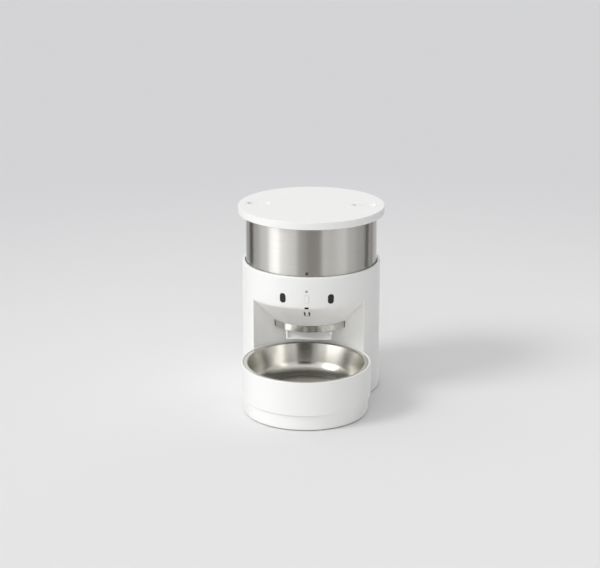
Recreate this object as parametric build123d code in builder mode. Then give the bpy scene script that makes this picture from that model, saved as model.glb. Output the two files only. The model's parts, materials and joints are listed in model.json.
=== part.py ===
"""Automatic pet feeder: a round housing with a lift-out steel hopper, and a bowl stand that docks in front.

Millimetres, +Z up, the front faces -Y. The origin is on the floor, in the middle of the footprint's box.
Each sub-part is its own solid, or group of equal solids, and is written to its own STEP file.
"""

import os
from math import cos, pi, radians, sin, sqrt

from build123d import *

# ---------------------------------------------------------------- driving dimensions
body_radius = 99.5          # housing, outside
shell_wall = 2.5
shell_bottom = 1.6          # lowest moulded edge above the floor
band_bottom = 145.0         # lower edge of the closed band above the bowl
band_height = 44.5
lid_overhang = 5.5          # beyond the housing, all round
lid_height = 10.6
hopper_wall = 0.8
hopper_show = 69.8          # steel that shows between the housing's rim and the lid
stand_radius = 90.9         # ring of the bowl stand, outside
stand_top = 71.3
foot_inset = 3.6            # foot of the bowl stand, inside the ring
foot_top = 22.8
drive_room = 15.0           # from the recess's back wall to the drive's axis
ring_radius = 59.6          # metal ring round the portion chamber, outside
ring_bottom = 95.5
ring_height = 10.0

# ---------------------------------------------------------------- walls and clearances
panel_wall = 2.2
plate_wall = 2.5
slide_gap = 0.3             # between faces that move past each other
seat_gap = 0.1              # round a piece that is fixed in its seat
shaft_gap = 0.05            # radial clearance of a shaft in its bearing
rim_wall = 1.35             # the mouth is thicker than the wall by this much
rim_gap = 1.15              # between the hopper and the housing's mouth
recess_gap = 1.4            # between the bowl stand and the recess it docks in
ring_gap = 0.6              # between the metal ring and the panel round it

# ---------------------------------------------------------------- places worked out from them
shell_top = band_bottom + band_height
shell_inside = body_radius - shell_wall
mouth_radius = shell_inside - rim_wall
hopper_radius = mouth_radius - rim_gap
lid_radius = body_radius + lid_overhang
recess_radius = stand_radius + recess_gap
panel_outside = recess_radius + panel_wall
bowl_offset = panel_outside + drive_room
foot_radius = stand_radius - foot_inset
body_y = (bowl_offset + stand_radius - lid_radius) / 2
bowl_y = body_y - bowl_offset
body_axis = Axis((0, body_y, 0), (0, 0, 1))
bowl_axis = Axis((0, bowl_y, 0), (0, 0, 1))
body_section = Plane.XZ.offset(-body_y)
bowl_section = Plane.XZ.offset(-bowl_y)
ring_top = ring_bottom + ring_height
lid_bottom = shell_top + hopper_show
lid_top = lid_bottom + lid_height


def body_plane(height):
    """Horizontal plane centred on the housing's axis."""
    return Plane((0, body_y, height))


def bowl_plane(height):
    """Horizontal plane centred on the bowl's axis."""
    return Plane((0, bowl_y, height))


def radial_plane(angle, radius, height):
    """Upright plane that faces outwards at an angle from the front, round the housing's axis."""
    turn = radians(angle)
    return Plane(
        origin=(radius * sin(turn), body_y - radius * cos(turn), height),
        x_dir=(cos(turn), sin(turn), 0),
        z_dir=(sin(turn), -cos(turn), 0),
    )


def round_the_body(angles, radius):
    """Locations at angles from the front, round the housing's axis, in a plane centred on it."""
    return [Location((radius * sin(radians(a)), -radius * cos(radians(a)))) for a in angles]


def revolved(points, section, axis):
    """Closed outline of (radius, height) points, turned about an axis."""
    with BuildPart() as turned:
        with BuildSketch(section):
            with BuildLine():
                Polyline(*points, close=True)
            make_face()
        revolve(axis=axis)
    return turned.part


def screws(places, head_z, length, points_up, head_radius=2.8, shank_radius=1.5):
    """Group of pan-head screws; places are (x, y) centres and head_z is the seat of the heads."""
    head_height = 2.0
    recess_radius_of_driver = 1.1
    way = 1 if points_up else -1
    with BuildPart() as group:
        for x, y in places:
            seat = Plane((x, y, head_z), z_dir=(0, 0, -way))
            with BuildSketch(seat):
                Circle(head_radius)
            extrude(amount=head_height)
            with BuildSketch(seat):
                Circle(shank_radius)
            extrude(amount=-length)
            with BuildSketch(seat.offset(head_height)):
                RegularPolygon(recess_radius_of_driver, 6)
            extrude(amount=-head_height * 0.6, mode=Mode.SUBTRACT)
    return group


# ================================================================ housing
rim_round = 2.0
lip_depth = 6.0             # thicker mouth at the top of the shell
window_angle = 19.9         # each sensor window, from the front
window_width = 8.8
window_height = 13.9
window_corner = 3.9
window_z = band_bottom + 12.6
led_radius = 1.5
led_z = band_bottom + 24.2
button_width = 6.2
button_height = 12.8
button_z = band_bottom + 12.9
slit_width = 6.0
slit_height = 2.8
slit_z = band_bottom - 0.2
post_radius = 5.0
post_angles = (64, 118, 242, 296)
post_ring = shell_inside - 4.4
deck_wall = 3.0
deck_bottom = ring_bottom - deck_wall
screw_hole = 1.6
door_width = 108.0
door_height = 64.0
door_z = 44.0
door_corner = 6.0
socket_angle = 130
socket_z = 18.0
socket_nose = 5.0
board_depth = 8.4           # from the inside of the shell back to the front board's rear face
board_y = body_y - shell_inside + board_depth
board_wall = 1.6
board_post_reach = board_depth - board_wall - slide_gap
board_screw_radius = 0.8
board_post_x = 16.0
board_post_z = band_bottom + 6.0
board_post_radius = 2.6
base_top = shell_bottom + plate_wall


def outline_of_window(grow=0.0):
    """Sensor window's outline in the sketch that is open."""
    RectangleRounded(window_width + 2 * grow, window_height + 2 * grow, window_corner + grow)


def outline_of_button(grow=0.0):
    """Feed button's outline in the sketch that is open."""
    SlotOverall(button_height + 2 * grow, button_width + 2 * grow, rotation=90)


def outline_of_slit(grow=0.0):
    """Infrared slit's outline in the sketch that is open."""
    RectangleRounded(slit_width + 2 * grow, slit_height + 2 * grow, 0.9)


with BuildPart() as housing_shell:
    with BuildSketch(body_plane(shell_bottom)):
        Circle(body_radius)
        Circle(shell_inside, mode=Mode.SUBTRACT)
    extrude(amount=shell_top - shell_bottom)
    with BuildSketch(body_plane(shell_top - lip_depth)):
        Circle(shell_inside)
        Circle(mouth_radius, mode=Mode.SUBTRACT)
    extrude(amount=lip_depth)
    rim_edges = housing_shell.edges().filter_by(GeomType.CIRCLE).group_by(Axis.Z)[-1]
    fillet(rim_edges.sort_by(SortBy.RADIUS)[-1], rim_round)
    # posts that carry the base plate below and the deck above
    with BuildSketch(body_plane(base_top)):
        with Locations(round_the_body(post_angles, post_ring)):
            Circle(post_radius)
    extrude(amount=deck_bottom - base_top)
    with BuildSketch(body_plane(base_top)):
        with Locations(round_the_body(post_angles, post_ring)):
            Circle(screw_hole)
    extrude(amount=deck_bottom - base_top, mode=Mode.SUBTRACT)
    # two short posts behind the band carry the front board
    with BuildSketch(Plane.XZ.offset(-(board_y - board_wall))):
        with Locations((-board_post_x, board_post_z), (board_post_x, board_post_z)):
            Circle(board_post_radius)
    extrude(amount=board_post_reach)
    with BuildSketch(Plane.XZ.offset(-(board_y - board_wall))):
        with Locations((-board_post_x, board_post_z), (board_post_x, board_post_z)):
            Circle(board_screw_radius)
    extrude(amount=board_post_reach - 2, mode=Mode.SUBTRACT)
    # the front is open below the band, where the recess for the bowl stand begins
    with BuildSketch(bowl_plane(shell_bottom)):
        Circle(panel_outside + seat_gap)
    extrude(amount=band_bottom - shell_bottom, mode=Mode.SUBTRACT)
    # holes in the band
    for side in (-1, 1):
        with BuildSketch(radial_plane(side * window_angle, shell_inside - 1, window_z)):
            outline_of_window()
        extrude(amount=shell_wall + 2, mode=Mode.SUBTRACT)
    with BuildSketch(radial_plane(0, shell_inside - 1, led_z)):
        Circle(led_radius + seat_gap)
    extrude(amount=shell_wall + 2, mode=Mode.SUBTRACT)
    with BuildSketch(radial_plane(0, shell_inside - 1, button_z)):
        outline_of_button(slide_gap)
    extrude(amount=shell_wall + 2, mode=Mode.SUBTRACT)
    with BuildSketch(radial_plane(0, shell_inside - 1, slit_z)):
        outline_of_slit()
    extrude(amount=shell_wall + 2, mode=Mode.SUBTRACT)
    # battery door and power inlet at the back
    door_depth = sqrt(shell_inside**2 - (door_width / 2) ** 2) - 2
    with BuildSketch(Plane.XZ.offset(-(body_y + door_depth))):
        with Locations((0, door_z)):
            RectangleRounded(door_width, door_height, door_corner)
    extrude(amount=-body_radius, mode=Mode.SUBTRACT)
    with BuildSketch(radial_plane(socket_angle, shell_inside - 1, socket_z)):
        Circle(socket_nose + seat_gap)
    extrude(amount=shell_wall + 2, mode=Mode.SUBTRACT)
housing_shell.part.label = "housing_shell"

# ---------------------------------------------------------------- recess panel: curved wall and cone
edge_lip = 1.2              # upright edge of the panel under the band
cone_rise = 3.2             # thickness of the cone, measured upright
cone_top = band_bottom - edge_lip
cone_bottom = ring_top + 0.3
ring_hole = ring_radius + ring_gap
cone_slope = (cone_top - cone_bottom) / (body_radius - ring_hole)
catch_width = 8.6           # U-shaped slot round the panel's spring catch
catch_height = 12.6
catch_slot = 2.1
catch_share = 0.33          # how far down the cone the catch sits
tongue_width = 60.0
tongue_reach = 26.0


def cone_height(radius):
    """Height of the cone's underside at a radius from the housing's axis."""
    return cone_bottom + cone_slope * (radius - ring_hole)


with BuildPart() as alcove_space:
    with BuildSketch(bowl_plane(shell_bottom)):
        Circle(recess_radius)
    extrude(amount=shell_top - shell_bottom)
    add(
        revolved(
            [
                (0, 0),
                (body_radius + 20, 0),
                (body_radius + 20, cone_top),
                (body_radius, cone_top),
                (ring_hole, cone_bottom),
                (0, cone_bottom),
            ],
            body_section,
            body_axis,
        ),
        mode=Mode.INTERSECT,
    )

panel_edge = shell_inside - seat_gap
catch_radius = body_radius - catch_share * (body_radius - ring_hole)
catch_plane = Plane(
    origin=(0, body_y - catch_radius, cone_height(catch_radius)),
    x_dir=(1, 0, 0),
    z_dir=(0, -cone_slope, -1),
)

with BuildPart() as alcove_panel:
    with BuildSketch(bowl_plane(shell_bottom)):
        Circle(panel_outside)
    extrude(amount=shell_top - shell_bottom)
    add(
        revolved(
            [
                (0, shell_bottom),
                (body_radius, shell_bottom),
                (body_radius, band_bottom),
                (panel_edge, band_bottom),
                (panel_edge, cone_height(panel_edge) + cone_rise),
                (ring_hole, cone_bottom + cone_rise),
                (0, cone_bottom + cone_rise),
            ],
            body_section,
            body_axis,
        ),
        mode=Mode.INTERSECT,
    )
    add(alcove_space.part, mode=Mode.SUBTRACT)
    with BuildSketch(body_plane(ring_bottom - slide_gap)):
        Circle(ring_hole)
    extrude(amount=shell_top, mode=Mode.SUBTRACT)
    with BuildSketch(radial_plane(0, shell_inside - 2, slit_z)):
        outline_of_slit()
    extrude(amount=shell_wall + 3, mode=Mode.SUBTRACT)
    # U-shaped slot that frees the catch
    with BuildSketch(catch_plane.offset(-6)):
        RectangleRounded(catch_width, catch_height, catch_width / 2 - 0.2)
        Rectangle(catch_width - 2 * catch_slot, catch_height - 2 * catch_slot, mode=Mode.SUBTRACT)
        with Locations((0, catch_height / 2)):
            Rectangle(catch_width, catch_height / 2, mode=Mode.SUBTRACT)
    extrude(amount=12, mode=Mode.SUBTRACT)
    # notch that the base plate's docking tongue passes through
    with BuildSketch(Plane((0, bowl_y + recess_radius, shell_bottom))):
        Rectangle(tongue_width + 2 * seat_gap, 40)
    extrude(amount=plate_wall + seat_gap, mode=Mode.SUBTRACT)
alcove_panel.part.label = "alcove_panel"

# ---------------------------------------------------------------- feed chute under the ring
chamber_radius = ring_radius - 2.1          # portion chamber, outside
chamber_wall = 2.2
rotor_radius = chamber_radius - chamber_wall - 1.3
outlet_outer = rotor_radius - 1.0           # the outlet is part of a ring round the housing's axis
outlet_inner = outlet_outer - 22.0
outlet_half = 32.0                          # degrees each side of the front
chute_wall = 2.0
chute_half = outlet_outer * sin(radians(outlet_half)) + chute_wall + 2.9
chute_front = outlet_outer + 1.0            # in front of the housing's axis
chute_back = outlet_inner - 7.0             # inner back face, in front of the housing's axis
chute_height = 12.2
chute_top = ring_bottom - slide_gap
chute_corner = 5.0

with BuildPart() as feed_chute:
    chute_length = chute_front - 10
    with BuildSketch(Plane((0, body_y - chute_front + chute_length / 2, chute_top))):
        RectangleRounded(2 * chute_half, chute_length, chute_corner)
    extrude(amount=-chute_height)
    with BuildSketch(bowl_plane(0)):
        Circle(recess_radius - seat_gap)
    extrude(amount=shell_top, mode=Mode.INTERSECT)
    inner_length = chute_front - chute_wall - chute_back
    with BuildSketch(Plane((0, body_y - chute_back - inner_length / 2, chute_top))):
        RectangleRounded(2 * (chute_half - chute_wall), inner_length, chute_corner - chute_wall)
    extrude(amount=-chute_height, mode=Mode.SUBTRACT)
feed_chute.part.label = "feed_chute"

# ---------------------------------------------------------------- base plate, feet, screws
base_edge = shell_inside - slide_gap
pad_radius = 6.0
pad_height = 2.0
pad_pocket = pad_height - shell_bottom
base_pad_spots = round_the_body((72, 150, 210, 288), base_edge - 22)
post_spots = [
    (post_ring * sin(radians(a)), body_y - post_ring * cos(radians(a))) for a in post_angles
]

with BuildPart() as base_plate:
    with BuildSketch(body_plane(shell_bottom)):
        Circle(base_edge)
    extrude(amount=plate_wall)
    with BuildSketch(bowl_plane(shell_bottom)):
        Circle(panel_outside + slide_gap)
    extrude(amount=plate_wall, mode=Mode.SUBTRACT)
    # docking tongue that reaches under the bowl stand
    tongue_root = bowl_y + panel_outside + slide_gap + 4
    tongue_length = 4 + slide_gap + panel_wall + recess_gap + tongue_reach
    with BuildSketch(Plane((0, tongue_root - tongue_length / 2, shell_bottom))):
        RectangleRounded(tongue_width, tongue_length, 3)
    extrude(amount=plate_wall)
    with BuildSketch(body_plane(shell_bottom)):
        with Locations(base_pad_spots):
            Circle(pad_radius + seat_gap)
    extrude(amount=pad_pocket, mode=Mode.SUBTRACT)
    with BuildSketch(Plane.XY.offset(shell_bottom)):
        with Locations(post_spots):
            Circle(1.8)
    extrude(amount=plate_wall, mode=Mode.SUBTRACT)
    with BuildSketch(Plane.XY.offset(shell_bottom)):
        with Locations(post_spots):
            Circle(3.1)
    extrude(amount=1.2, mode=Mode.SUBTRACT)
base_plate.part.label = "base_plate"

with BuildPart() as base_pads:
    with BuildSketch(body_plane(0)):
        with Locations(base_pad_spots):
            Circle(pad_radius)
    extrude(amount=pad_height)
    pad_edges = base_pads.edges().filter_by(GeomType.CIRCLE).group_by(Axis.Z)[0]
    fillet(pad_edges, 0.5)
base_pads.part.label = "base_pads"

base_screws = screws(post_spots, shell_bottom + 1.2, 10, points_up=True)
base_screws.part.label = "base_screws"

# ================================================================ drive under the hopper
gear_module = 1.0
wheel_teeth = 24
pinion_teeth = 8
gear_reach = gear_module * (wheel_teeth + pinion_teeth) / 2
gear_depth = 18.5
gear_floor = deck_bottom - gear_depth
floor_wall = 2.0
gear_case_gap = 0.5
gear_case_wall = 1.2
low_gear_z = gear_floor + floor_wall + 0.8
low_gear_height = 6.0
high_gear_z = low_gear_z + low_gear_height + 1.2
high_gear_height = deck_bottom - high_gear_z - 1.0
shaft_radius = 2.5
pin_radius = 1.5
bush_radius = 4.5
bush_height = deck_wall + 1.0
dog_flats = 12.0            # six-sided dog that drives the rotor
dog_height = 8.5
dog_bottom = ring_bottom + 0.5
motor_radius = 12.0
motor_height = 34.0
motor_boss = 4.0
idler_x = gear_reach
motor_x = 2 * gear_reach


def gear_outline(teeth):
    """Gear outline with straight-sided teeth and room for backlash, in the sketch that is open.

    The first tooth points along the sketch's +Y.
    """
    pitch_radius = gear_module * teeth / 2
    root_radius = pitch_radius - 1.2 * gear_module
    tip_radius = pitch_radius + 0.85 * gear_module
    root_half = 0.30 * 2 * pi / teeth
    tip_half = 0.105 * 2 * pi / teeth
    points = []
    for tooth in range(teeth):
        middle = pi / 2 + tooth * 2 * pi / teeth
        for radius, turn in (
            (root_radius, -root_half),
            (tip_radius, -tip_half),
            (tip_radius, tip_half),
            (root_radius, root_half),
        ):
            points.append((radius * cos(middle + turn), radius * sin(middle + turn)))
    Polygon(*points, align=None)


with BuildPart() as deck:
    with BuildSketch(body_plane(deck_bottom)):
        Circle(base_edge)
    extrude(amount=deck_wall)
    with BuildSketch(bowl_plane(deck_bottom)):
        Circle(panel_outside + slide_gap)
    extrude(amount=deck_wall, mode=Mode.SUBTRACT)
    with BuildSketch(body_plane(deck_bottom)):
        Circle(bush_radius + seat_gap)
        with Locations((gear_reach, 0)):
            Circle(pin_radius)
    extrude(amount=deck_wall, mode=Mode.SUBTRACT)
    with BuildSketch(Plane.XY.offset(deck_bottom)):
        with Locations(post_spots):
            Circle(1.8)
    extrude(amount=deck_wall, mode=Mode.SUBTRACT)
    # stiffening rib round the back
    with BuildSketch(body_plane(deck_bottom)):
        Circle(ring_radius + 6)
        Circle(ring_radius + 4, mode=Mode.SUBTRACT)
        with Locations((0, -ring_radius)):
            Rectangle(4 * ring_radius, 3 * ring_radius, mode=Mode.SUBTRACT)
    extrude(amount=-6)
deck.part.label = "deck"

deck_screws = screws(post_spots, ring_bottom, 11, points_up=False)
deck_screws.part.label = "deck_screws"

case_inside = gear_module * (wheel_teeth / 2 + 0.85) + gear_case_gap


def case_outline(grow):
    """Long round-ended outline of the gear case, in the sketch that is open."""
    with Locations((gear_reach, 0)):
        SlotCenterToCenter(2 * gear_reach, 2 * (case_inside + grow))


with BuildPart() as gear_case:
    with BuildSketch(body_plane(gear_floor)):
        case_outline(gear_case_wall)
    extrude(amount=deck_bottom - gear_floor)
    with BuildSketch(body_plane(gear_floor + floor_wall)):
        case_outline(0)
    extrude(amount=deck_bottom - gear_floor, mode=Mode.SUBTRACT)
    with BuildSketch(body_plane(gear_floor)):
        with Locations((2 * gear_reach, 0)):
            Circle(motor_boss + seat_gap)
    extrude(amount=floor_wall, mode=Mode.SUBTRACT)
    # blind seats of the drive shaft and the idler pin
    with BuildSketch(body_plane(gear_floor + 0.6)):
        Circle(shaft_radius + shaft_gap)
        with Locations((gear_reach, 0)):
            Circle(pin_radius)
    extrude(amount=floor_wall, mode=Mode.SUBTRACT)
gear_case.part.label = "gear_case"

with BuildPart() as drive_gear:
    with BuildSketch(body_plane(high_gear_z)):
        gear_outline(wheel_teeth)
        Circle(shaft_radius, mode=Mode.SUBTRACT)
    extrude(amount=high_gear_height)
drive_gear.part.label = "drive_gear"

with BuildPart() as drive_shaft:
    with BuildSketch(body_plane(gear_floor + 0.8)):
        Circle(shaft_radius)
    extrude(amount=dog_bottom - gear_floor - 0.8)
    with BuildSketch(body_plane(dog_bottom)):
        RegularPolygon(dog_flats / 2, 6, major_radius=False)
    extrude(amount=dog_height)
    chamfer(drive_shaft.faces().sort_by(Axis.Z)[-1].edges(), 1.0)
drive_shaft.part.label = "drive_shaft"

with BuildPart() as drive_bush:
    with BuildSketch(body_plane(ring_bottom - bush_height)):
        Circle(bush_radius)
        Circle(shaft_radius + shaft_gap, mode=Mode.SUBTRACT)
    extrude(amount=bush_height)
drive_bush.part.label = "drive_bush"

with BuildPart() as idler_gear:
    with BuildSketch(Plane((idler_x, body_y, low_gear_z))):
        gear_outline(wheel_teeth)
        Circle(pin_radius + shaft_gap, mode=Mode.SUBTRACT)
    extrude(amount=low_gear_height)
    with BuildSketch(Plane((idler_x, body_y, low_gear_z + low_gear_height), x_dir=(cos(pi / 8), sin(pi / 8), 0))):
        gear_outline(pinion_teeth)
        Circle(pin_radius + shaft_gap, mode=Mode.SUBTRACT)
    extrude(amount=high_gear_z + high_gear_height - low_gear_z - low_gear_height)
idler_gear.part.label = "idler_gear"

with BuildPart() as idler_pin:
    with BuildSketch(Plane((idler_x, body_y, gear_floor + 0.6))):
        Circle(pin_radius)
    extrude(amount=deck_bottom + 2 - gear_floor - 0.6)
idler_pin.part.label = "idler_pin"

with BuildPart() as motor_pinion:
    with BuildSketch(Plane((motor_x, body_y, low_gear_z), x_dir=(cos(pi / 8), sin(pi / 8), 0))):
        gear_outline(pinion_teeth)
    extrude(amount=low_gear_height)
    with BuildSketch(Plane((motor_x, body_y, low_gear_z))):
        Circle(1.2)
    extrude(amount=-(low_gear_z - gear_floor + 4))
motor_pinion.part.label = "motor_pinion"

with BuildPart() as motor:
    with BuildSketch(Plane((motor_x, body_y, gear_floor))):
        Circle(motor_radius)
    extrude(amount=-motor_height)
    can_edges = motor.edges().filter_by(GeomType.CIRCLE).group_by(Axis.Z)
    fillet(can_edges[0] + can_edges[-1], 1.2)
    with BuildSketch(Plane((motor_x, body_y, gear_floor))):
        Circle(motor_boss)
    extrude(amount=floor_wall)
    with BuildSketch(Plane((motor_x, body_y, gear_floor + floor_wall))):
        Circle(1.2 + shaft_gap)
    extrude(amount=-(floor_wall + 5), mode=Mode.SUBTRACT)
motor.part.label = "motor"

# ================================================================ power
cell_radius = 16.6
cell_height = 60.0
cell_pitch = 36.0
cell_y = body_y + shell_inside - 27.0
tray_wall = 1.8
tray_half = 1.5 * cell_pitch + 1.6
tray_front = cell_y - cell_radius - 1.0
contact_wall = 0.6

with BuildPart() as battery_tray:
    with BuildSketch(Plane((0, tray_front - tray_wall, base_top))):
        Rectangle(2 * (tray_half + tray_wall), 60, align=(Align.CENTER, Align.MIN))
    extrude(amount=cell_height + 10 + tray_wall)
    with BuildSketch(body_plane(base_top)):
        Circle(shell_inside - 2.2)
    extrude(amount=deck_bottom, mode=Mode.INTERSECT)
    with BuildSketch(Plane((0, tray_front, base_top + tray_wall))):
        Rectangle(2 * tray_half, 60, align=(Align.CENTER, Align.MIN))
    extrude(amount=cell_height + 10 - tray_wall, mode=Mode.SUBTRACT)
    with BuildSketch(Plane((0, tray_front, base_top + tray_wall))):
        with Locations((-cell_pitch / 2, 0), (cell_pitch / 2, 0)):
            Rectangle(1.4, 12, align=(Align.CENTER, Align.MIN))
    extrude(amount=cell_height + 10 - tray_wall)
battery_tray.part.label = "battery_tray"

cell_seat = base_top + tray_wall + contact_wall + 2.4

with BuildPart() as battery_cells:
    for column in (-1, 0, 1):
        with BuildSketch(Plane((column * cell_pitch, cell_y, cell_seat))):
            Circle(cell_radius)
        extrude(amount=cell_height - 1.5)
        with BuildSketch(Plane((column * cell_pitch, cell_y, cell_seat + cell_height - 1.5))):
            Circle(4.6)
        extrude(amount=1.5)
battery_cells.part.label = "battery_cells"

with BuildPart() as battery_contacts:
    contact_top = base_top + cell_height + 10
    for column in (-1, 0, 1):
        with BuildSketch(Plane((column * cell_pitch, cell_y, base_top + tray_wall))):
            Circle(8)
        extrude(amount=contact_wall)
        with BuildSketch(Plane((column * cell_pitch, cell_y, base_top + tray_wall + contact_wall))):
            Circle(4)
            Circle(3.2, mode=Mode.SUBTRACT)
        extrude(amount=2.4)
        with BuildSketch(Plane((column * cell_pitch, cell_y, cell_seat + cell_height))):
            Rectangle(10, 12)
        extrude(amount=contact_top - cell_seat - cell_height)
battery_contacts.part.label = "battery_contacts"

with BuildPart() as battery_door:
    with BuildSketch(body_plane(0)):
        Circle(body_radius)
        Circle(shell_inside, mode=Mode.SUBTRACT)
    extrude(amount=shell_top)
    with BuildSketch(Plane.XZ.offset(-body_y)):
        with Locations((0, door_z)):
            RectangleRounded(door_width - 2 * slide_gap, door_height - 2 * slide_gap, door_corner)
    extrude(amount=-2 * body_radius, mode=Mode.INTERSECT)
    # finger dip near the upper edge
    with BuildSketch(Plane.XZ.offset(-(body_y + body_radius + 9.0))):
        with Locations((0, door_z + door_height / 2 - 10)):
            Circle(12.0)
    extrude(amount=10.6, taper=40, mode=Mode.SUBTRACT)
battery_door.part.label = "battery_door"

socket_plane = radial_plane(socket_angle, shell_inside - 0.4, socket_z)
with BuildPart() as power_socket:
    with BuildSketch(socket_plane):
        Rectangle(13, 13)
    extrude(amount=-12)
    with BuildSketch(socket_plane):
        Circle(socket_nose)
    extrude(amount=shell_wall + 0.2)
    with BuildSketch(socket_plane.offset(shell_wall + 0.2)):
        Circle(2.8)
        Circle(1.0, mode=Mode.SUBTRACT)
    extrude(amount=-9.5, mode=Mode.SUBTRACT)
power_socket.part.label = "power_socket"

main_board_x = -63.0
board_length = 52.0
board_height = 64.0
board_inset = 4.0           # of the standoffs, from the board's upper and lower edge
board_middle_y = body_y + 6.0
board_middle_z = 46.0
standoff_pitch = 44.0
standoff_radius = 3.0
standoff_spots = [
    (board_middle_y + side * standoff_pitch / 2, board_middle_z + end * (board_height / 2 - board_inset))
    for side in (-1, 1)
    for end in (-1, 1)
]
with BuildPart() as main_board:
    with BuildSketch(Plane.YZ.offset(main_board_x)):
        with Locations((board_middle_y, board_middle_z)):
            RectangleRounded(board_length, board_height, 1.5)
        with Locations(standoff_spots):
            Circle(standoff_radius / 2 + seat_gap, mode=Mode.SUBTRACT)
    extrude(amount=board_wall)
main_board.part.label = "main_board"

with BuildPart() as board_parts:
    with BuildSketch(Plane.YZ.offset(main_board_x + board_wall)):
        with Locations((board_middle_y + 2, board_middle_z + 6)):
            Rectangle(14, 14)
        with Locations((board_middle_y - 14, board_middle_z + 18)):
            Rectangle(9, 16)
    extrude(amount=1.6)
    with BuildSketch(Plane.YZ.offset(main_board_x + board_wall)):
        with Locations((board_middle_y - 14, board_middle_z - 14), (board_middle_y - 1, board_middle_z - 16)):
            Circle(4)
    extrude(amount=11)
    with BuildSketch(Plane.YZ.offset(main_board_x + board_wall)):
        with Locations((board_middle_y + 16, board_middle_z - 12)):
            Rectangle(8, 18)
    extrude(amount=7)
board_parts.part.label = "board_parts"

with BuildPart() as board_standoffs:
    farthest = board_middle_y - body_y + standoff_pitch / 2 + standoff_radius
    standoff_back = sqrt((shell_inside - seat_gap) ** 2 - farthest**2)
    with BuildSketch(Plane.YZ.offset(main_board_x)):
        with Locations(standoff_spots):
            Circle(standoff_radius)
    extrude(amount=-(standoff_back + main_board_x))
    with BuildSketch(Plane.YZ.offset(main_board_x)):
        with Locations(standoff_spots):
            Circle(standoff_radius / 2)
    extrude(amount=board_wall)
board_standoffs.part.label = "board_standoffs"

# ================================================================ front of the band
window_front = body_radius - 0.25
window_back = shell_inside - 1.6
module_depth = 6.0


def sensor_window(side):
    """Dark window with a flange behind the shell."""
    with BuildPart() as window:
        with BuildSketch(radial_plane(side * window_angle, window_back, window_z)):
            outline_of_window(1.2)
        extrude(amount=shell_inside - 0.25 - window_back)
        with BuildSketch(radial_plane(side * window_angle, window_back, window_z)):
            outline_of_window(-seat_gap)
        extrude(amount=window_front - window_back)
    return window


sensor_window_left = sensor_window(-1)
sensor_window_left.part.label = "sensor_window_left"
sensor_window_right = sensor_window(1)
sensor_window_right.part.label = "sensor_window_right"

with BuildPart() as sensor_modules:
    for side in (-1, 1):
        with BuildSketch(radial_plane(side * window_angle, window_back, window_z)):
            Rectangle(window_width, window_height)
        extrude(amount=-module_depth)
sensor_modules.part.label = "sensor_modules"

board_top = led_z + 3.0
board_bottom = band_bottom + 2.5
with BuildPart() as front_board:
    with BuildSketch(Plane.XZ.offset(-board_y)):
        with Locations((0, (board_bottom + board_top) / 2)):
            RectangleRounded(2 * (board_post_x + 5), board_top - board_bottom, 1.0)
        with Locations((-board_post_x, board_post_z), (board_post_x, board_post_z)):
            Circle(1.1, mode=Mode.SUBTRACT)
    extrude(amount=board_wall)
front_board.part.label = "front_board"

board_front = body_y - board_y + board_wall     # distance from the housing's axis
board_screws_at = Plane.XZ.offset(-board_y)
with BuildPart() as board_screws:
    with BuildSketch(board_screws_at):
        with Locations((-board_post_x, board_post_z), (board_post_x, board_post_z)):
            Circle(2.0)
    extrude(amount=-1.4)
    with BuildSketch(board_screws_at):
        with Locations((-board_post_x, board_post_z), (board_post_x, board_post_z)):
            Circle(board_screw_radius)
    extrude(amount=board_wall + 4)
board_screws.part.label = "board_screws"

switch_height = 1.4
button_travel = 1.0
button_back = board_front + switch_height + button_travel + 0.2
with BuildPart() as feed_switch:
    with BuildSketch(radial_plane(0, board_front, button_z)):
        Rectangle(5, 5)
    extrude(amount=switch_height * 0.7)
    with BuildSketch(radial_plane(0, board_front, button_z)):
        Circle(1.5)
    extrude(amount=switch_height)
feed_switch.part.label = "feed_switch"

with BuildPart() as feed_button:
    with BuildSketch(radial_plane(0, button_back, button_z)):
        Circle(2.4)
    extrude(amount=shell_inside - button_back - 1)
    with BuildSketch(radial_plane(0, shell_inside - 1.6, button_z)):
        outline_of_button(1.2)
    extrude(amount=1.3)
    with BuildSketch(radial_plane(0, shell_inside - 1, button_z)):
        outline_of_button()
    extrude(amount=shell_wall + 1 + 0.15)
    fillet(feed_button.faces().sort_by(Axis.Y)[0].edges(), 0.5)
feed_button.part.label = "feed_button"

with BuildPart() as led_pipe:
    with BuildSketch(radial_plane(0, board_front, led_z)):
        Circle(led_radius)
    extrude(amount=body_radius + 0.1 - board_front)
led_pipe.part.label = "led_pipe"

with BuildPart() as infrared_window:
    with BuildSketch(radial_plane(0, shell_inside - 2, slit_z)):
        outline_of_slit(-seat_gap)
    extrude(amount=shell_wall + 2 - 0.2)
infrared_window.part.label = "infrared_window"

with BuildPart() as buzzer:
    with BuildSketch(catch_plane.offset(-cone_rise)):
        with Locations((0, 0)):
            Circle(7.0)
    extrude(amount=-4.5)
buzzer.part.label = "buzzer"

# ================================================================ hopper
collar_wall = 2.2
flange_bottom = shell_top - 8.5
flange_height = 2.5
collar_height = 7.0
ring_inside = chamber_radius + seat_gap
chamber_top = ring_bottom + 31.5
chamber_floor = 2.7
tube_bottom = flange_bottom + flange_height
tube_top = lid_bottom + 2.7
tube_inside = hopper_radius - hopper_wall
funnel_wall = 2.2
shoulder_radius = shell_inside - board_depth - 2.6     # the funnel passes behind the front board
shoulder_z = board_top + 1.0
floor_hole = 9.5
rotor_hub = 9.0
rotor_bottom = ring_bottom + chamber_floor + 0.4
rotor_top = ring_bottom + 25.5
vane_count = 6
vane_wall = 2.2
socket_flats = dog_flats + 0.5
dot_radius = 2.3
dot_z = shell_top + 4.2


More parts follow.
